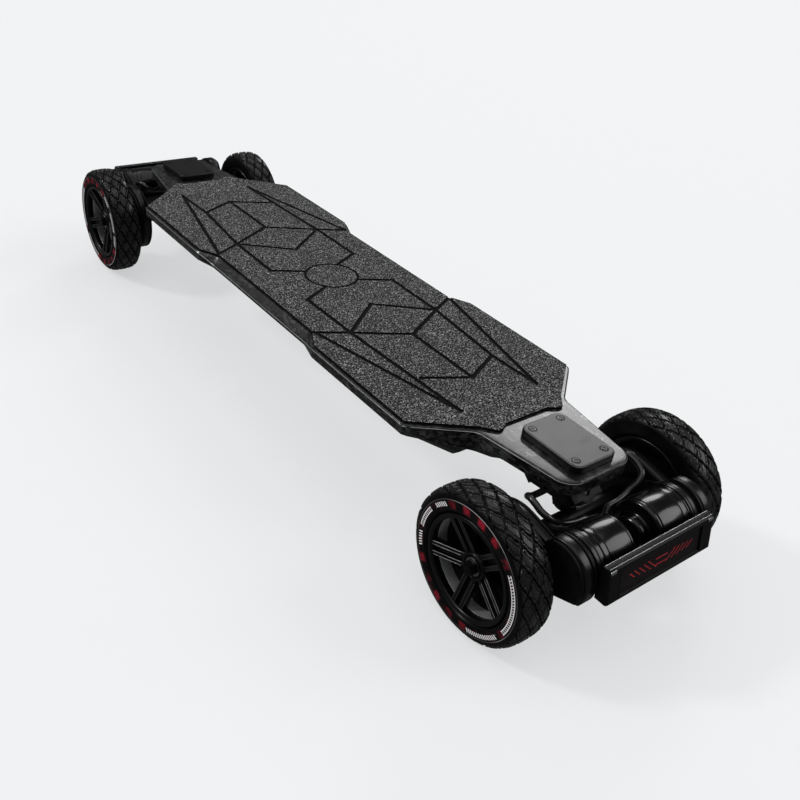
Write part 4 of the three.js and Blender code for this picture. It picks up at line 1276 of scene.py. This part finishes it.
@dataclass
class Wheel:
    """Tyre, hub, bearing and nut of one corner."""

    place: Place
    half_width: float = 20.5 * MM
    outer_face: float = 144.5 * MM
    bead: float = 56.3 * MM
    tread_depth: float = 2.3 * MM
    turns: int = 640
    across_steps: int = 84
    pitch_count: int = 17
    block_width: float = 14.5 * MM
    rim: float = 56 * MM
    barrel: float = 51.5 * MM
    boss: float = 16 * MM
    spokes: int = 5
    first_spoke: float = 0.848
    rib_spread: float = 5.6 * MM
    rib_width: float = 4.2 * MM
    rib_depth: float = 7.5 * MM
    web: tuple = (120 * MM, 122.5 * MM)
    rib_root: float = 129 * MM
    rib_tip: float = 138.5 * MM

    def tyre_profile(self) -> np.ndarray:
        """(radius, across from the middle) of the tyre's smooth skin, bead to bead."""
        half = self.half_width
        right = np.array([
            (self.bead, half - 3.4 * MM), (58.2 * MM, half - 0.9 * MM), (60 * MM, half),
            (68.6 * MM, half), (72.6 * MM, half - 0.5 * MM), (74.4 * MM, half - 1.7 * MM),
            (77.6 * MM, half - 4.0 * MM), (79.2 * MM, half - 8.2 * MM), (80 * MM, half - 14 * MM),
        ])
        left = right[::-1] * np.array([1, -1])
        return np.vstack([right, left])

    def tyre(self) -> Skin:
        """The tyre: its skin's profile carried round the axle and cut by the tread.

        The tread lies where two families of slanted lines meet. With s the turn in pitches and
        w the way across in block widths, a = s + w and b = s - w. A groove lies where the
        distance of a or b to a whole number is small, and a slight triangle wave of the other
        family makes the grooves zigzag.
        """
        corners = self.tyre_profile()
        knots = np.concatenate([[0], np.cumsum(np.linalg.norm(np.diff(corners, axis=0), axis=1))])
        total = knots[-1]
        shoulder = knots[5]
        t = np.concatenate([
            np.linspace(0, shoulder, 22)[:-1],
            np.linspace(shoulder, total - shoulder, self.across_steps),
            np.linspace(total - shoulder, total, 22)[1:],
        ])
        soft = 0.8 * MM
        shifts = np.linspace(-soft, soft, 5)[:, None]
        reach = np.clip(t[None, :] + shifts, 0, total)
        radius = np.interp(reach, knots, corners[:, 0]).mean(axis=0)
        across = np.interp(reach, knots, corners[:, 1]).mean(axis=0)
        angle = np.arange(self.turns) / self.turns * FULL_TURN
        depth = self.tread(angle[None, :], t[:, None] - total / 2, total / 2 - shoulder)
        middle = self.outer_face - self.half_width
        rings = turned(radius[:, None] - depth, middle + across[:, None], self.turns)
        return Skin.from_rings(rings, loop=True)

    def tread(self, angle: np.ndarray, way: np.ndarray, reach: float) -> np.ndarray:
        """How deep the tread is cut at an angle and a way across from the middle line."""
        s = angle / FULL_TURN * self.pitch_count
        w = way / self.block_width

        def wave(x: np.ndarray) -> np.ndarray:
            """A triangle wave between minus and plus a half."""
            return np.abs(np.mod(x, 1.0) - 0.5) * 2 - 0.5

        def near(x: np.ndarray) -> np.ndarray:
            """Distance to the nearest whole number."""
            return np.abs(np.mod(x + 0.5, 1.0) - 0.5)

        def cut(distance: np.ndarray, width: float) -> np.ndarray:
            """One inside a groove, falling to nothing past its width."""
            return 1 - np.clip((distance - width) / 0.04, 0, 1)

        a = s + w + 0.07 * wave(2 * (s - w))
        b = s - w + 0.07 * wave(2 * (s + w) + 0.25)
        groove = np.maximum(cut(near(a), 0.055), cut(near(b), 0.075))
        sipe = cut(near(2 * a + 0.5), 0.04) * 0.45
        fade = np.clip((reach - np.abs(way)) / (1.5 * MM), 0, 1)
        return self.tread_depth * np.maximum(groove, sipe) * fade

    def rim_skins(self) -> list[Skin]:
        """The rim with a lip on each side, and a light grey satin skin over the barrel between them:
        painted sheen on the barrel.
        """
        outer = self.outer_face - 0.8 * MM
        inner = self.outer_face - 41 * MM + 0.8 * MM
        rim = np.array([
            (50.2 * MM, outer - 1.8 * MM), (52 * MM, outer), (55 * MM, outer),
            (self.rim, outer - 1.2 * MM),
            (self.rim, inner + 1.2 * MM), (55 * MM, inner), (49.5 * MM, inner),
            (49.5 * MM, inner + 4 * MM), (self.barrel, inner + 7 * MM),
            (self.barrel, outer - 8 * MM), (50.2 * MM, outer - 5.5 * MM),
        ])
        skin = np.array([
            (self.barrel - 0.35 * MM, inner + 9 * MM), (self.barrel + 0.6 * MM, inner + 8 * MM),
            (self.barrel + 0.6 * MM, outer - 9 * MM), (self.barrel - 0.35 * MM, outer - 10 * MM),
        ])
        return [
            turned_skin(line, rounding * MM, 144, loop=True)
            for line, rounding in ((rim, 0.8), (skin, 0.3))
        ]

    def spoke_skins(self) -> list[Skin]:
        """Twin ribs from the boss to the rim, and the thin web between them."""
        made = []
        for index in range(self.spokes):
            angle = self.first_spoke + index * FULL_TURN / self.spokes
            for offset in (-self.rib_spread, self.rib_spread):
                made.append(self._bar(angle, offset, self.rib_width / 2, self.rib_depth / 2, 0.0))
            made.append(self._bar(angle, 0.0, self.rib_spread - self.rib_width / 2 + 0.4 * MM,
                                  1.6 * MM, -2.1 * MM))
        return made

    def _bar(self, angle: float, offset: float, half_wide: float, half_deep: float,
             sink: float) -> Skin:
        """A bar along a radius: rounded sections (across, offset) at growing reach."""
        reach = np.linspace(self.boss - 4 * MM, self.barrel + 1.5 * MM, 12)
        share = np.linspace(0, 1, 12)
        middle = self.rib_root + (self.rib_tip - self.rib_root) * share + sink
        flare = 1 + 0.25 * np.abs(2 * share - 1) ** 4
        corners = np.array([[-1, -1], [1, -1], [1, 1], [-1, 1]], float)
        section = corners[None] * np.stack(
            [np.full(12, half_deep), half_wide * flare], axis=-1
        )[:, None, :]
        ring = rounded(section, 0.9 * MM, 3)
        across = middle[:, None] + ring[..., 0]
        side = offset + ring[..., 1]
        far = np.broadcast_to(reach[:, None], side.shape)
        cos, sin = math.cos(angle), math.sin(angle)
        outboard, up = far * cos - side * sin, far * sin + side * cos
        points = np.stack([across, outboard, AXLE_HEIGHT + up], axis=-1)
        return Skin.from_rings(points)

    def rib_lines(self) -> list[Skin]:
        """Thin light lines along the outer edges of every rib: painted highlights where the edges
        catch the light.
        """
        reach = np.linspace(self.boss + 1 * MM, self.barrel - 1 * MM, 8)
        share = (reach - self.boss + 4 * MM) / (self.barrel - self.boss + 5.5 * MM)
        middle = self.rib_root + (self.rib_tip - self.rib_root) * share
        across = middle + self.rib_depth / 2 - 0.3 * MM
        made = []
        for index in range(self.spokes):
            angle = self.first_spoke + index * FULL_TURN / self.spokes
            cos, sin = math.cos(angle), math.sin(angle)
            for offset in (-self.rib_spread, self.rib_spread):
                for edge in (-1, 1):
                    side = offset + edge * (self.rib_width / 2 - 0.2 * MM)
                    outboard, up = reach * cos - side * sin, reach * sin + side * cos
                    path = np.stack([across, outboard, AXLE_HEIGHT + up], axis=-1)
                    made.append(tube(path, 0.42 * MM, 8))
        return made

    def web_skin(self) -> Skin:
        """The thin dished disc behind the spokes, from the boss to the barrel."""
        low, high = self.web
        reach = self.barrel + 1.2 * MM
        profile = np.array([
            (self.boss - 1 * MM, low - 1.5 * MM), (reach, low), (reach, high),
            (self.boss + 6 * MM, high),
            (self.boss - 1 * MM, high + 1.5 * MM),
        ])
        return turned_skin(profile, 0.4 * MM, 120, loop=True)

    def boss_skin(self) -> Skin:
        """The boss: a stepped ring round the bearing's seat."""
        bore, seat = 7.2 * MM, 11.3 * MM
        profile = np.array([
            (bore, 108 * MM), (self.boss, 108 * MM), (self.boss, 131 * MM), (14.2 * MM, 134.6 * MM),
            (12.4 * MM, 134.6 * MM), (seat, 133.4 * MM), (seat, 125.6 * MM), (bore, 125.6 * MM),
        ])
        return turned_skin(profile, 0.6 * MM, 96, loop=True)

    def bearing_skins(self) -> list[Skin]:
        """Outer ring, shield and inner ring of the bearing."""
        outer = np.array([(9.6, 126), (11.0, 126), (11.0, 133.6), (9.6, 133.6)]) * MM
        shield = np.array([(7.0, 126.6), (9.8, 126.6), (9.8, 133.0), (7.0, 133.0)]) * MM
        inner = np.array([(5.3, 126), (7.2, 126), (7.2, 133.8), (5.3, 133.8)]) * MM
        return [turned_skin(p, 0.3 * MM, 72, loop=True) for p in (outer, shield, inner)]

    def washer_skin(self) -> Skin:
        """The thin bright washer under the nut."""
        profile = np.array([(5.3, 133.9), (9.5, 133.9), (9.5, 134.6), (5.3, 134.6)]) * MM
        return turned_skin(profile, 0.25 * MM, 72, loop=True)

    def nut_skin(self) -> Skin:
        """A locking nut: six flats, a bevelled rim and a round collar."""
        count = 72
        flats = 7.1 * hexagon(count)
        radii = np.stack([
            np.minimum(flats, 7.4), flats, flats, np.minimum(flats, 7.5),
            *(np.full(count, radius) for radius in (6.4, 6.2, 5.35, 5.35)),
        ])
        levels = np.array([134.6, 135.1, 138.4, 139.0, 139.1, 140.3, 140.3, 134.6])[:, None]
        return Skin.from_rings(turned(radii * MM, levels * MM, count), loop=True)

    def build(self, shop: Workshop) -> None:
        """Makes and dresses the wheel's pieces."""
        word, body = self.place.word, f"{self.place.word}_wheel"
        put = Bench(shop, word, self.place.world, body).put
        put("tyre_treaded", [self.tyre()], Look.RUBBER, "tyre", "tyre", wheel=self.place,
            smooth=40.0)
        put("hub_spokes", [*self.spoke_skins(), self.boss_skin()], Look.HUB, "hub", "hub")
        # Painted highlights along the ribs' edges.
        put("hub_rib_lines", self.rib_lines(), Look.RIB_LINE, "", "hub")
        put("hub_web", [self.web_skin()], Look.DARK, "", "hub")
        lip, barrel = self.rim_skins()
        put("hub_rim", [lip], Look.HUB, "", "hub")
        # The barrel's light grey skin is painted sheen.
        put("hub_barrel", [barrel], Look.LIP, "", "hub")
        put("bearing_rings", self.bearing_skins(), Look.SCREW, "bearing", "steel")
        truck = f"{self.place.end.word}_truck"
        put("nut_locking", [self.nut_skin()], Look.DARK, "axle_nut", "steel", truck)
        put("nut_washer", [self.washer_skin()], Look.EDGE, "", "steel", truck)


# Drives


@dataclass
class Drive:
    """Motor and gear housing of one corner."""

    place: Place
    distance: float = 66 * MM
    lean: float = 0.36
    can_radius: float = 31.5 * MM
    can_inner: float = 17 * MM
    can_outer: float = 63.3 * MM
    nose: float = 5 * MM
    nose_radius: float = 18 * MM
    axle_round: float = 50.0 * MM
    motor_round: float = 34.5 * MM
    flat: float = 27.95 * MM
    notch: tuple = (52.8 * MM, 26.0 * MM)
    sleeve_hole: float = 20 * MM
    arm_round: float = 24 * MM
    housing_inner: float = 78.9 * MM
    housing_outer: float = 92.8 * MM

    @property
    def shaft(self) -> tuple[float, float]:
        """Where the motor's axis lies: outboard, up."""
        way = self.distance
        return (way * math.cos(self.lean), AXLE_HEIGHT + way * math.sin(self.lean))

    def leaning(self, drawn: np.ndarray) -> np.ndarray:
        """Turns places drawn along and across the line from axle to motor into outboard and up."""
        cos, sin = math.cos(self.lean), math.sin(self.lean)
        along, across = drawn.T
        outboard, up = along * cos - across * sin, along * sin + across * cos
        return np.column_stack([outboard, AXLE_HEIGHT + up])

    def can(self) -> Skin:
        """The motor can: nose, rounded shoulder, ring lines at both ends and a proud end band."""
        r = self.can_radius
        x, low = self.can_outer, self.can_inner
        profile = np.array([
            (0.0, self.nose), (15.5 * MM, self.nose), (self.nose_radius, self.nose + 2.4 * MM),
            (self.nose_radius, low - 1.6 * MM), (20.5 * MM, low), (r - 2.4 * MM, low),
            (r - 0.5 * MM, low + 2.4 * MM), (r - 0.5 * MM, low + 4.4 * MM),
            (r - 1.1 * MM, low + 4.8 * MM),
            (r - 1.1 * MM, low + 5.6 * MM), (r, low + 6.0 * MM),
            (r, x - 11.2 * MM), (r - 0.8 * MM, x - 10.9 * MM), (r - 0.8 * MM, x - 10.3 * MM),
            (r, x - 10.0 * MM), (r, x - 4.7 * MM),
            (r - 1.2 * MM, x - 4.2 * MM), (r - 1.2 * MM, x - 2.2 * MM),
            (r - 0.2 * MM, x - 1.8 * MM), (r - 0.2 * MM, x), (0.0, x),
        ])
        radius = np.full(len(profile), 0.25)
        radius[[0, -1]] = 0
        radius[1:7] = 1.2
        return turned_skin(profile, radius * MM, 144, False, *self.shaft, steps=3)

    def outline(self, inset: float) -> np.ndarray:
        """The housing's outline, drawn in by a distance.

        It runs round the motor, straight to the notch, down a line that touches the axle's
        circle at angle atan2(n) + acos(R / |n|) for the notch n, round the axle, and flat below.
        """
        big, small, flat = self.axle_round - inset, self.motor_round - inset, self.flat - inset
        along, across = self.notch
        touch = math.atan2(across, along) + math.acos(self.axle_round / math.hypot(along, across))
        near = np.linspace(-math.asin(flat / small), math.pi / 2, 44)
        far = np.linspace(touch, FULL_TURN - math.asin(flat / big), 84)
        motor = np.column_stack([self.distance + small * np.cos(near), small * np.sin(near)])
        corner = np.array([[along, across - inset / math.sin(touch)]])
        axle = np.column_stack([big * np.cos(far), big * np.sin(far)])
        return self.leaning(np.vstack([motor, corner, axle]))

    def housing(self) -> Skin:
        """The housing's body."""
        low, high = self.housing_inner, self.housing_outer
        return Skin.from_rings(crosswise(slab(self.outline, low, high - 3.0 * MM, 2.2 * MM, 5)))

    def cover(self) -> Skin:
        """The raised cover on the body's outer side: a thinner plate with a chamfered rim."""
        high = self.housing_outer
        plate = slab(lambda i: self.outline(i + 2.4 * MM), high - 4.6 * MM, high, 1.2 * MM, 2)
        return Skin.from_rings(crosswise(plate))

    def screws(self) -> list[Skin]:
        """Cover screws along the rim."""
        rim = self.outline(6.0 * MM)
        picked = rim[[2, 20, 40, 48, 66, 88, 108, 126]]
        return [
            socket_screw((self.housing_outer, a, b), (1, 0, 0), 2.3 * MM, 0.2 * MM)
            for a, b in picked
        ]

    def mount_ring(self) -> Skin:
        """The proud ring of the mount behind the motor's end."""
        r, low = self.can_radius + 1.0 * MM, self.can_outer + 0.3 * MM
        profile = np.array([
            (r - 6 * MM, low), (r, low), (r, low + 2.4 * MM), (r - 0.5 * MM, low + 2.7 * MM),
            (r - 0.5 * MM, low + 3.1 * MM), (r, low + 3.4 * MM), (r, low + 7.5 * MM),
            (r - 6 * MM, low + 7.5 * MM),
        ])
        return turned_skin(profile, 0.5 * MM, 144, True, *self.shaft)

    def arm(self) -> list[Skin]:
        """The hanger's end behind the motor: a belt round beam and motor, a boss, a back plate."""
        open_half = math.acos((self.can_radius - self.arm_round) / self.distance)

        def belt(inset: float) -> np.ndarray:
            """The outline round beam and motor, drawn in by a distance."""
            near = np.linspace(open_half - math.pi, math.pi - open_half, 64)
            far = np.linspace(math.pi - open_half, math.pi + open_half, 40)
            big, small = self.can_radius - 0.2 * MM - inset, self.arm_round - inset
            return self.leaning(np.vstack([
                np.column_stack([self.distance + big * np.cos(near), big * np.sin(near)]),
                np.column_stack([small * np.cos(far), small * np.sin(far)]),
            ]))

        ring_end = self.can_outer + 7.8 * MM
        back = self.housing_inner - 0.3 * MM
        band = slab(belt, ring_end - 4.6 * MM, ring_end, 1.0 * MM, 4)
        boss = turned_skin(
            [(0, ring_end - 2 * MM), (self.can_radius - 0.5 * MM, ring_end - 2 * MM),
             (self.can_radius - 0.5 * MM, back - 1.3 * MM), (0, back - 1.3 * MM)],
            [0, 0.3 * MM, 0.3 * MM, 0], 120, False, *self.shaft)
        plate = slab(self.outline, back - 2.6 * MM, back, 0.5 * MM, 3)
        return [Skin.from_rings(crosswise(band)), boss, Skin.from_rings(crosswise(plate))]

    def hub_ring(self) -> Skin:
        """The ring round the gear's sleeve on the cover."""
        high, hole = self.housing_outer, self.sleeve_hole
        profile = np.array([
            (hole, high - 3 * MM), (hole + 5 * MM, high - 3 * MM), (hole + 5 * MM, high - 0.2 * MM),
            (hole + 3.6 * MM, high), (hole, high),
        ])
        return turned_skin(profile, 0.4 * MM, 96, loop=True)

    def build(self, shop: Workshop) -> None:
        """Makes and dresses the drive's pieces."""
        word, body = self.place.word, f"{self.place.end.word}_truck"
        put = Bench(shop, word, self.place.world, body).put
        put("motor_shell", [self.can()], Look.GLOSS, "motor_can", "black_metal")
        put("gear_case", [self.housing()], Look.SATIN, "gear_housing", "satin_metal")
        put("gear_cover", [self.cover()], Look.DARK, "", "satin_metal")
        put("gear_cover_ring", [self.hub_ring()], Look.SATIN, "", "satin_metal")
        put("gear_cover_screws", self.screws(), Look.SCREW, "", "steel")
        put("motor_mount_ring", [self.mount_ring()], Look.SATIN, "", "satin_metal")
        for node in ("motor_rotor", "wheel_gear"):
            shop.keep(f"{word}_{node}", Look.STEEL)


# Trucks


@dataclass
class Truck:
    """Baseplate, yoke, hanger, guard bar and cable of one end."""

    end: End
    half_length: float = 74 * MM
    guard_inner: float = 94.57 * MM
    guard_top: float = 103.27 * MM
    guard_bottom: float = 109.97 * MM
    guard_low: float = 91 * MM
    guard_high: float = 129 * MM
    panel_half: float = 58 * MM
    panel_margin: float = 5 * MM
    cable_radius: float = 3.5 * MM
    beam_radius: float = 12 * MM
    beam_end: float = 78.6 * MM
    pin_tilt: float = 0.7
    outer_pin: tuple = (-14 * MM, 96 * MM)
    # One half of the cable's route; the other half is its mirror image
    route: tuple = (
        (-32, -6, 138), (-34, -7.5, 131.5), (-46, -11, 125), (-56, -12, 124), (-65, -10, 129),
        (-69, -3, 133),
        (-70, 5, 132), (-70, 13, 129), (-67, 21, 125.5), (-59, 24, 119), (-50, 23, 113),
        (-42, 24, 110), (-30, 25.4, 108), (-18, 25.6, 107), (-8, 31, 106), (0, 36, 106),
    )

    def guard_face(self, up: float | np.ndarray) -> float | np.ndarray:
        """Outboard place of the guard's leaning face at a height."""
        share = (self.guard_high - up) / (self.guard_high - self.guard_low)
        return self.guard_top + (self.guard_bottom - self.guard_top) * share

    def guard(self) -> Skin:
        """The bar: a leaning section carried across the board, with a tray for the lamp panel.

        Every section has the same ten corners; outside the tray its four middle corners lie on
        the face, and at the very ends the face is drawn in by 0.8 mm.
        """
        low, high, cut = self.guard_low, self.guard_high, 2.2 * MM
        tray_low, tray_high = low + self.panel_margin, high - self.panel_margin

        def section(depth: float, pull: float) -> np.ndarray:
            """The bar's ten corners with a tray of some depth and its face drawn in."""

            def face(up: float, inward: float = 0.0) -> tuple[float, float]:
                """A corner on the leaning face at a height."""
                return (self.guard_face(up) - inward - pull, up)

            corners = np.array([
                (self.guard_inner, low), face(low, cut), face(low + cut), face(tray_low),
                face(tray_low + 0.4 * MM, depth), face(tray_high - 0.4 * MM, depth),
                face(tray_high), face(high - cut), face(high, cut), (self.guard_inner, high),
            ])
            radius = np.array([0.7, 0.6, 0.6, 0.15, 0.15, 0.15, 0.15, 0.6, 0.6, 0.7]) * MM
            return rounded(corners, radius, 3)

        edge, inner = self.half_length, self.panel_half
        spans = [
            (-edge, 0.0, 0.8 * MM), (-edge + 0.8 * MM, 0.0, 0.0), (-inner - 0.3 * MM, 0.0, 0.0),
            (-inner, 1.6 * MM, 0.0),
        ]
        spans += [(-across, depth, pull) for across, depth, pull in reversed(spans)]
        rings = np.stack([section(depth, pull) for _, depth, pull in spans])
        across = np.array([span[0] for span in spans])[:, None, None]
        return Skin.from_rings(
            np.concatenate([np.broadcast_to(across, (*rings.shape[:2], 1)), rings], axis=-1)
        )

    def lips(self) -> list[Skin]:
        """Two thin light tubes along the bar's top, on its outer edge and on its inner edge: painted
        highlights where the edges catch the light.
        """
        high = self.guard_high
        end = self.half_length - 1.0 * MM
        made = []
        for outboard, up in (
            (self.guard_face(high) - 2.0 * MM, high + 0.05 * MM),
            (self.guard_inner + 0.9 * MM, high),
        ):
            across = np.linspace(-end, end, 24)
            path = np.stack([across, np.full(24, outboard), np.full(24, up)], axis=-1)
            made.append(tube(path, 0.4 * MM, 12))
        return made

    def frame_strips(self) -> list[Skin]:
        """A thin raised border round the lamp panel: four bars with rounded edges."""
        low, high = self.guard_low + self.panel_margin, self.guard_high - self.panel_margin
        half, wide = self.panel_half, 0.9 * MM
        return [
            self.on_face((a0 + a1) / 2, (z0 + z1) / 2, (a1 - a0) / 2, (z1 - z0) / 2, 0.3 * MM)
            for a0, a1, z0, z1 in (
                (-half, half, low - wide, low), (-half, half, high, high + wide),
                (-half - wide, -half, low - wide, high + wide),
                (half, half + wide, low - wide, high + wide),
            )
        ]

    def on_face(self, across: float, up: float, half_a: float, half_b: float, proud: float,
                slant: float = 0.0) -> Skin:
        """A low block on the guard's leaning face; slant shifts its top along the bar."""
        outline = rounded_box(half_a, half_b, min(half_a, half_b) * 0.5, 3)
        levels = [proud - 0.9 * MM, proud - 0.12 * MM, proud]
        rings = stacked([outline, outline, outline * 0.96], levels)
        a, b, out = np.moveaxis(rings, -1, 0)
        height = up + b
        return Skin.from_rings(np.stack(
            [across + a + slant * b, self.guard_face(height) + out, height], axis=-1
        ))

    def lamp_marks(self) -> list[Skin]:
        """Two fans of slanted dashes that meet at a plain middle bar, in the tray."""
        middle = (self.guard_low + self.guard_high) / 2
        level = -1.25 * MM
        made = [
            self.on_face(side * (13 + 7 * index) * MM, middle, 0.9 * MM, (5.6 - 0.6 * index) * MM,
                         level, side * 1.15)
            for side in (-1, 1) for index in range(5)
        ]
        for lift in (-3.2 * MM, 3.2 * MM):
            made.append(self.on_face(0.0, middle + lift, 8.5 * MM, 0.7 * MM, level))
        return made

    def tabs(self) -> list[Skin]:
        """Small bright tabs at the bar's top corners."""
        return [
            self.on_face(side * (self.half_length - 4.6 * MM), self.guard_high - 2.9 * MM, 3.6 * MM,
                         1.5 * MM, 0.5 * MM)
            for side in (-1, 1)
        ]

    def hanger(self) -> list[Skin]:
        """The hanger in the board's frame: eye round the outer kingpin, beam, and two ends.

        The eye is turned about an axis that leans outboard from upright by the pin's tilt.
        """
        place = Place(self.end)
        way = (0.0, math.sin(self.pin_tilt), math.cos(self.pin_tilt))
        bore, out, half = 5.4 * MM, 12 * MM, 7 * MM
        corners = np.array([(bore, -half), (out, -half), (out, half), (bore, half)])
        profile = rounded(corners, 0.9 * MM, 3)
        rings = stacked([circle(72) * radius for radius, _ in profile], profile[:, 1])
        eye = Skin.from_rings(aimed(rings, (0.0, *self.outer_pin), way), loop=True)
        end = self.beam_end
        beam = turned_skin([(0, -end), (self.beam_radius, -end), (self.beam_radius, end), (0, end)],
                           [0, 0.6 * MM, 0.6 * MM, 0], 72)
        made = [eye.moved(place.world), beam.moved(place.world)]
        for side in Side:
            corner = Place(self.end, side)
            made += [skin.moved(corner.world) for skin in Drive(corner).arm()]
        return made

    def build(self, shop: Workshop) -> None:
        """Makes and dresses the truck's pieces."""
        word = self.end.word
        place = Place(self.end)
        body, yoke = f"{word}_truck", f"{word}_yoke_body"
        shop.softened(f"{word}_baseplate", Look.DARK, "deck", 0.7 * MM, "black_metal")
        shop.softened(f"{word}_yoke", Look.DARK, yoke, 0.8 * MM, "satin_metal")
        shop.softened(f"{word}_inner_kingpin", Look.SCREW, "deck", 0.4 * MM, "steel")
        shop.softened(f"{word}_outer_kingpin", Look.SCREW, yoke, 0.4 * MM, "steel")
        for ring, on in (("inner", "deck"), ("outer", yoke)):
            shop.softened(f"{word}_{ring}_bushing", Look.URETHANE, on, 0.4 * MM, "bushing")
        shop.keep(f"{word}_axle", Look.SCREW)
        shop.piece(f"{word}_hanger_cast", self.hanger(), Look.DARK, body, [f"{word}_hanger"],
                   "black_metal")
        put = Bench(shop, word, place.world, body).put
        put("guard_body", [self.guard()], Look.DARK, "guard_bar", "satin_metal")
        middle = (self.guard_low + self.guard_high) / 2
        half = (self.guard_high - self.guard_low) / 2 - self.panel_margin - 0.5 * MM
        put("guard_panel", [self.on_face(0.0, middle, self.panel_half - 0.4 * MM, half, -1.4 * MM)],
            Look.LENS, "", "satin_metal")
        put("guard_frame", self.frame_strips(), Look.SATIN, "", "satin_metal")
        # Painted highlights along the bar's top edges.
        put("guard_lips", self.lips(), Look.EDGE, "", "steel")
        put("guard_tabs", self.tabs(), Look.STEEL, "", "steel")
        put("guard_marks", self.lamp_marks(), Look.RED, "", "accent")
        half_route = np.array(self.route, float) * MM
        mirrored = half_route[-2::-1] * np.array([-1, 1, 1])
        path = smooth_path(np.vstack([half_route, mirrored]), 260)
        cable = tube(path, self.cable_radius, 20)
        put("motor_cable_sheath", [cable], Look.SHEATH, "motor_cable", "cable")


# Studio


@dataclass
class Studio:
    """Pale floor, soft light and the photograph's camera."""

    focal: float = 38.886
    spot: tuple = (-0.5833, -0.8560, 0.6410)
    yaw: float = 40.21
    pitch: float = 32.99
    roll: float = 6.51
    floor_colour: Colour = (0.86, 0.868, 0.876)
    paper_share: float = 0.34
    # The sky's strength where it lights, where a gloss mirrors it, and where the camera sees it
    sky: tuple = (0.3, 0.1, 0.885)
    # Direction to the lamp, its apparent width in degrees, its strength
    lamps: tuple = (
        ((0.68, 0.52, 0.52), 17.0, 0.45),
        ((0.675, -0.454, 0.58), 32.0, 0.85),
        ((-0.55, 0.55, 0.62), 8.0, 1.0),
        ((-0.1, 0.1, 1.0), 80.0, 1.0),
    )

    def camera(self) -> None:
        """Sets the camera; it looks along (sin yaw cos pitch, cos yaw cos pitch, -sin pitch)."""
        yaw, pitch, roll = (math.radians(a) for a in (self.yaw, self.pitch, self.roll))
        level = math.cos(pitch)
        forward = Vector((math.sin(yaw) * level, math.cos(yaw) * level, -math.sin(pitch)))
        right = Vector((math.cos(yaw), -math.sin(yaw), 0))
        up = right.cross(forward)
        side = math.cos(roll) * right + math.sin(roll) * up
        over = -math.sin(roll) * right + math.cos(roll) * up
        data = bpy.data.cameras.new("camera")
        data.lens, data.sensor_width = self.focal, 36.0
        data.clip_start, data.clip_end = 0.01, 50.0
        camera = in_scene("camera", data)
        turn = Matrix((side, over, -forward)).transposed().to_4x4()
        camera.matrix_world = Matrix.Translation(self.spot) @ turn
        bpy.context.scene.camera = camera

    def floor(self) -> None:
        """A wide flat floor, lit from above and, as a light table is, from within."""
        size = 30.0
        mesh = bpy.data.meshes.new("floor")
        corners = [(-size, -size, 0), (size, -size, 0), (size, size, 0), (-size, size, 0)]
        mesh.from_pydata(corners, [], [[0, 1, 2, 3]])
        graph = Graph("floor_paper")
        grain = graph.noise(graph.place, 20.0, 2.0, 0.5)
        shade = tuple(c * 0.985 for c in self.floor_colour)
        paper = graph.mix(grain, self.floor_colour, shade)
        graph.coat(base_color=tuple(c * self.paper_share for c in self.floor_colour), roughness=0.9,
                   emission_color=paper, emission_strength=1.0 - self.paper_share)
        mesh.materials.append(graph.material)
        made = in_scene("floor", mesh)
        made.visible_glossy = False

    def light(self) -> None:
        """Round soft lamps so far away that they light the whole floor alike, and an even sky."""
        for index, (way, width, power) in enumerate(self.lamps):
            data = bpy.data.lights.new(f"softbox_{index}", "SUN")
            data.angle, data.energy = math.radians(width), power
            lamp = in_scene(f"softbox_{index}", data)
            lamp.location = Vector(way) * 3.0
            lamp.rotation_mode = "QUATERNION"
            lamp.rotation_quaternion = (-Vector(way)).to_track_quat("-Z", "Y")
        world = bpy.data.worlds.new("sky")
        world.use_nodes = True
        nodes, links = world.node_tree.nodes, world.node_tree.links
        sky = nodes["Background"]
        sky.inputs["Color"].default_value = (0.97, 0.985, 1.0, 1.0)
        rays = nodes.new("ShaderNodeLightPath")
        lit, mirrored, seen = self.sky
        strength = lit
        for name, value in (("Is Glossy Ray", mirrored), ("Is Camera Ray", seen)):
            pick = nodes.new("ShaderNodeMix")
            links.new(rays.outputs[name], pick.inputs[0])
            if isinstance(strength, float):
                pick.inputs[2].default_value = strength
            else:
                links.new(strength, pick.inputs[2])
            pick.inputs[3].default_value = value
            strength = pick.outputs[0]
        links.new(strength, sky.inputs["Strength"])
        bpy.context.scene.world = world
        bpy.context.scene.view_settings.view_transform = "Standard"

    def build(self) -> None:
        """Makes the whole studio."""
        self.camera()
        self.floor()
        self.light()


@dataclass
class Mountainboard:
    """The whole board."""

    deck: Deck = field(default_factory=Deck)
    enclosure: Enclosure = field(default_factory=Enclosure)

    def build(self, shop: Workshop) -> None:
        """Makes every sub-assembly in order."""
        self.deck.build(shop)
        self.enclosure.build(shop)
        for end in End:
            Truck(end).build(shop)
            for side in Side:
                place = Place(end, side)
                Drive(place).build(shop)
                Wheel(place).build(shop)


def main() -> None:
    """Builds the studio and the board."""
    logging.basicConfig(level=logging.INFO, format="%(message)s")
    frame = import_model()
    Studio().build()
    shop = Workshop(frame)
    Mountainboard().build(shop)
    LOG.info("%d pieces made", shop.made)


if __name__ == "__main__":
    main()
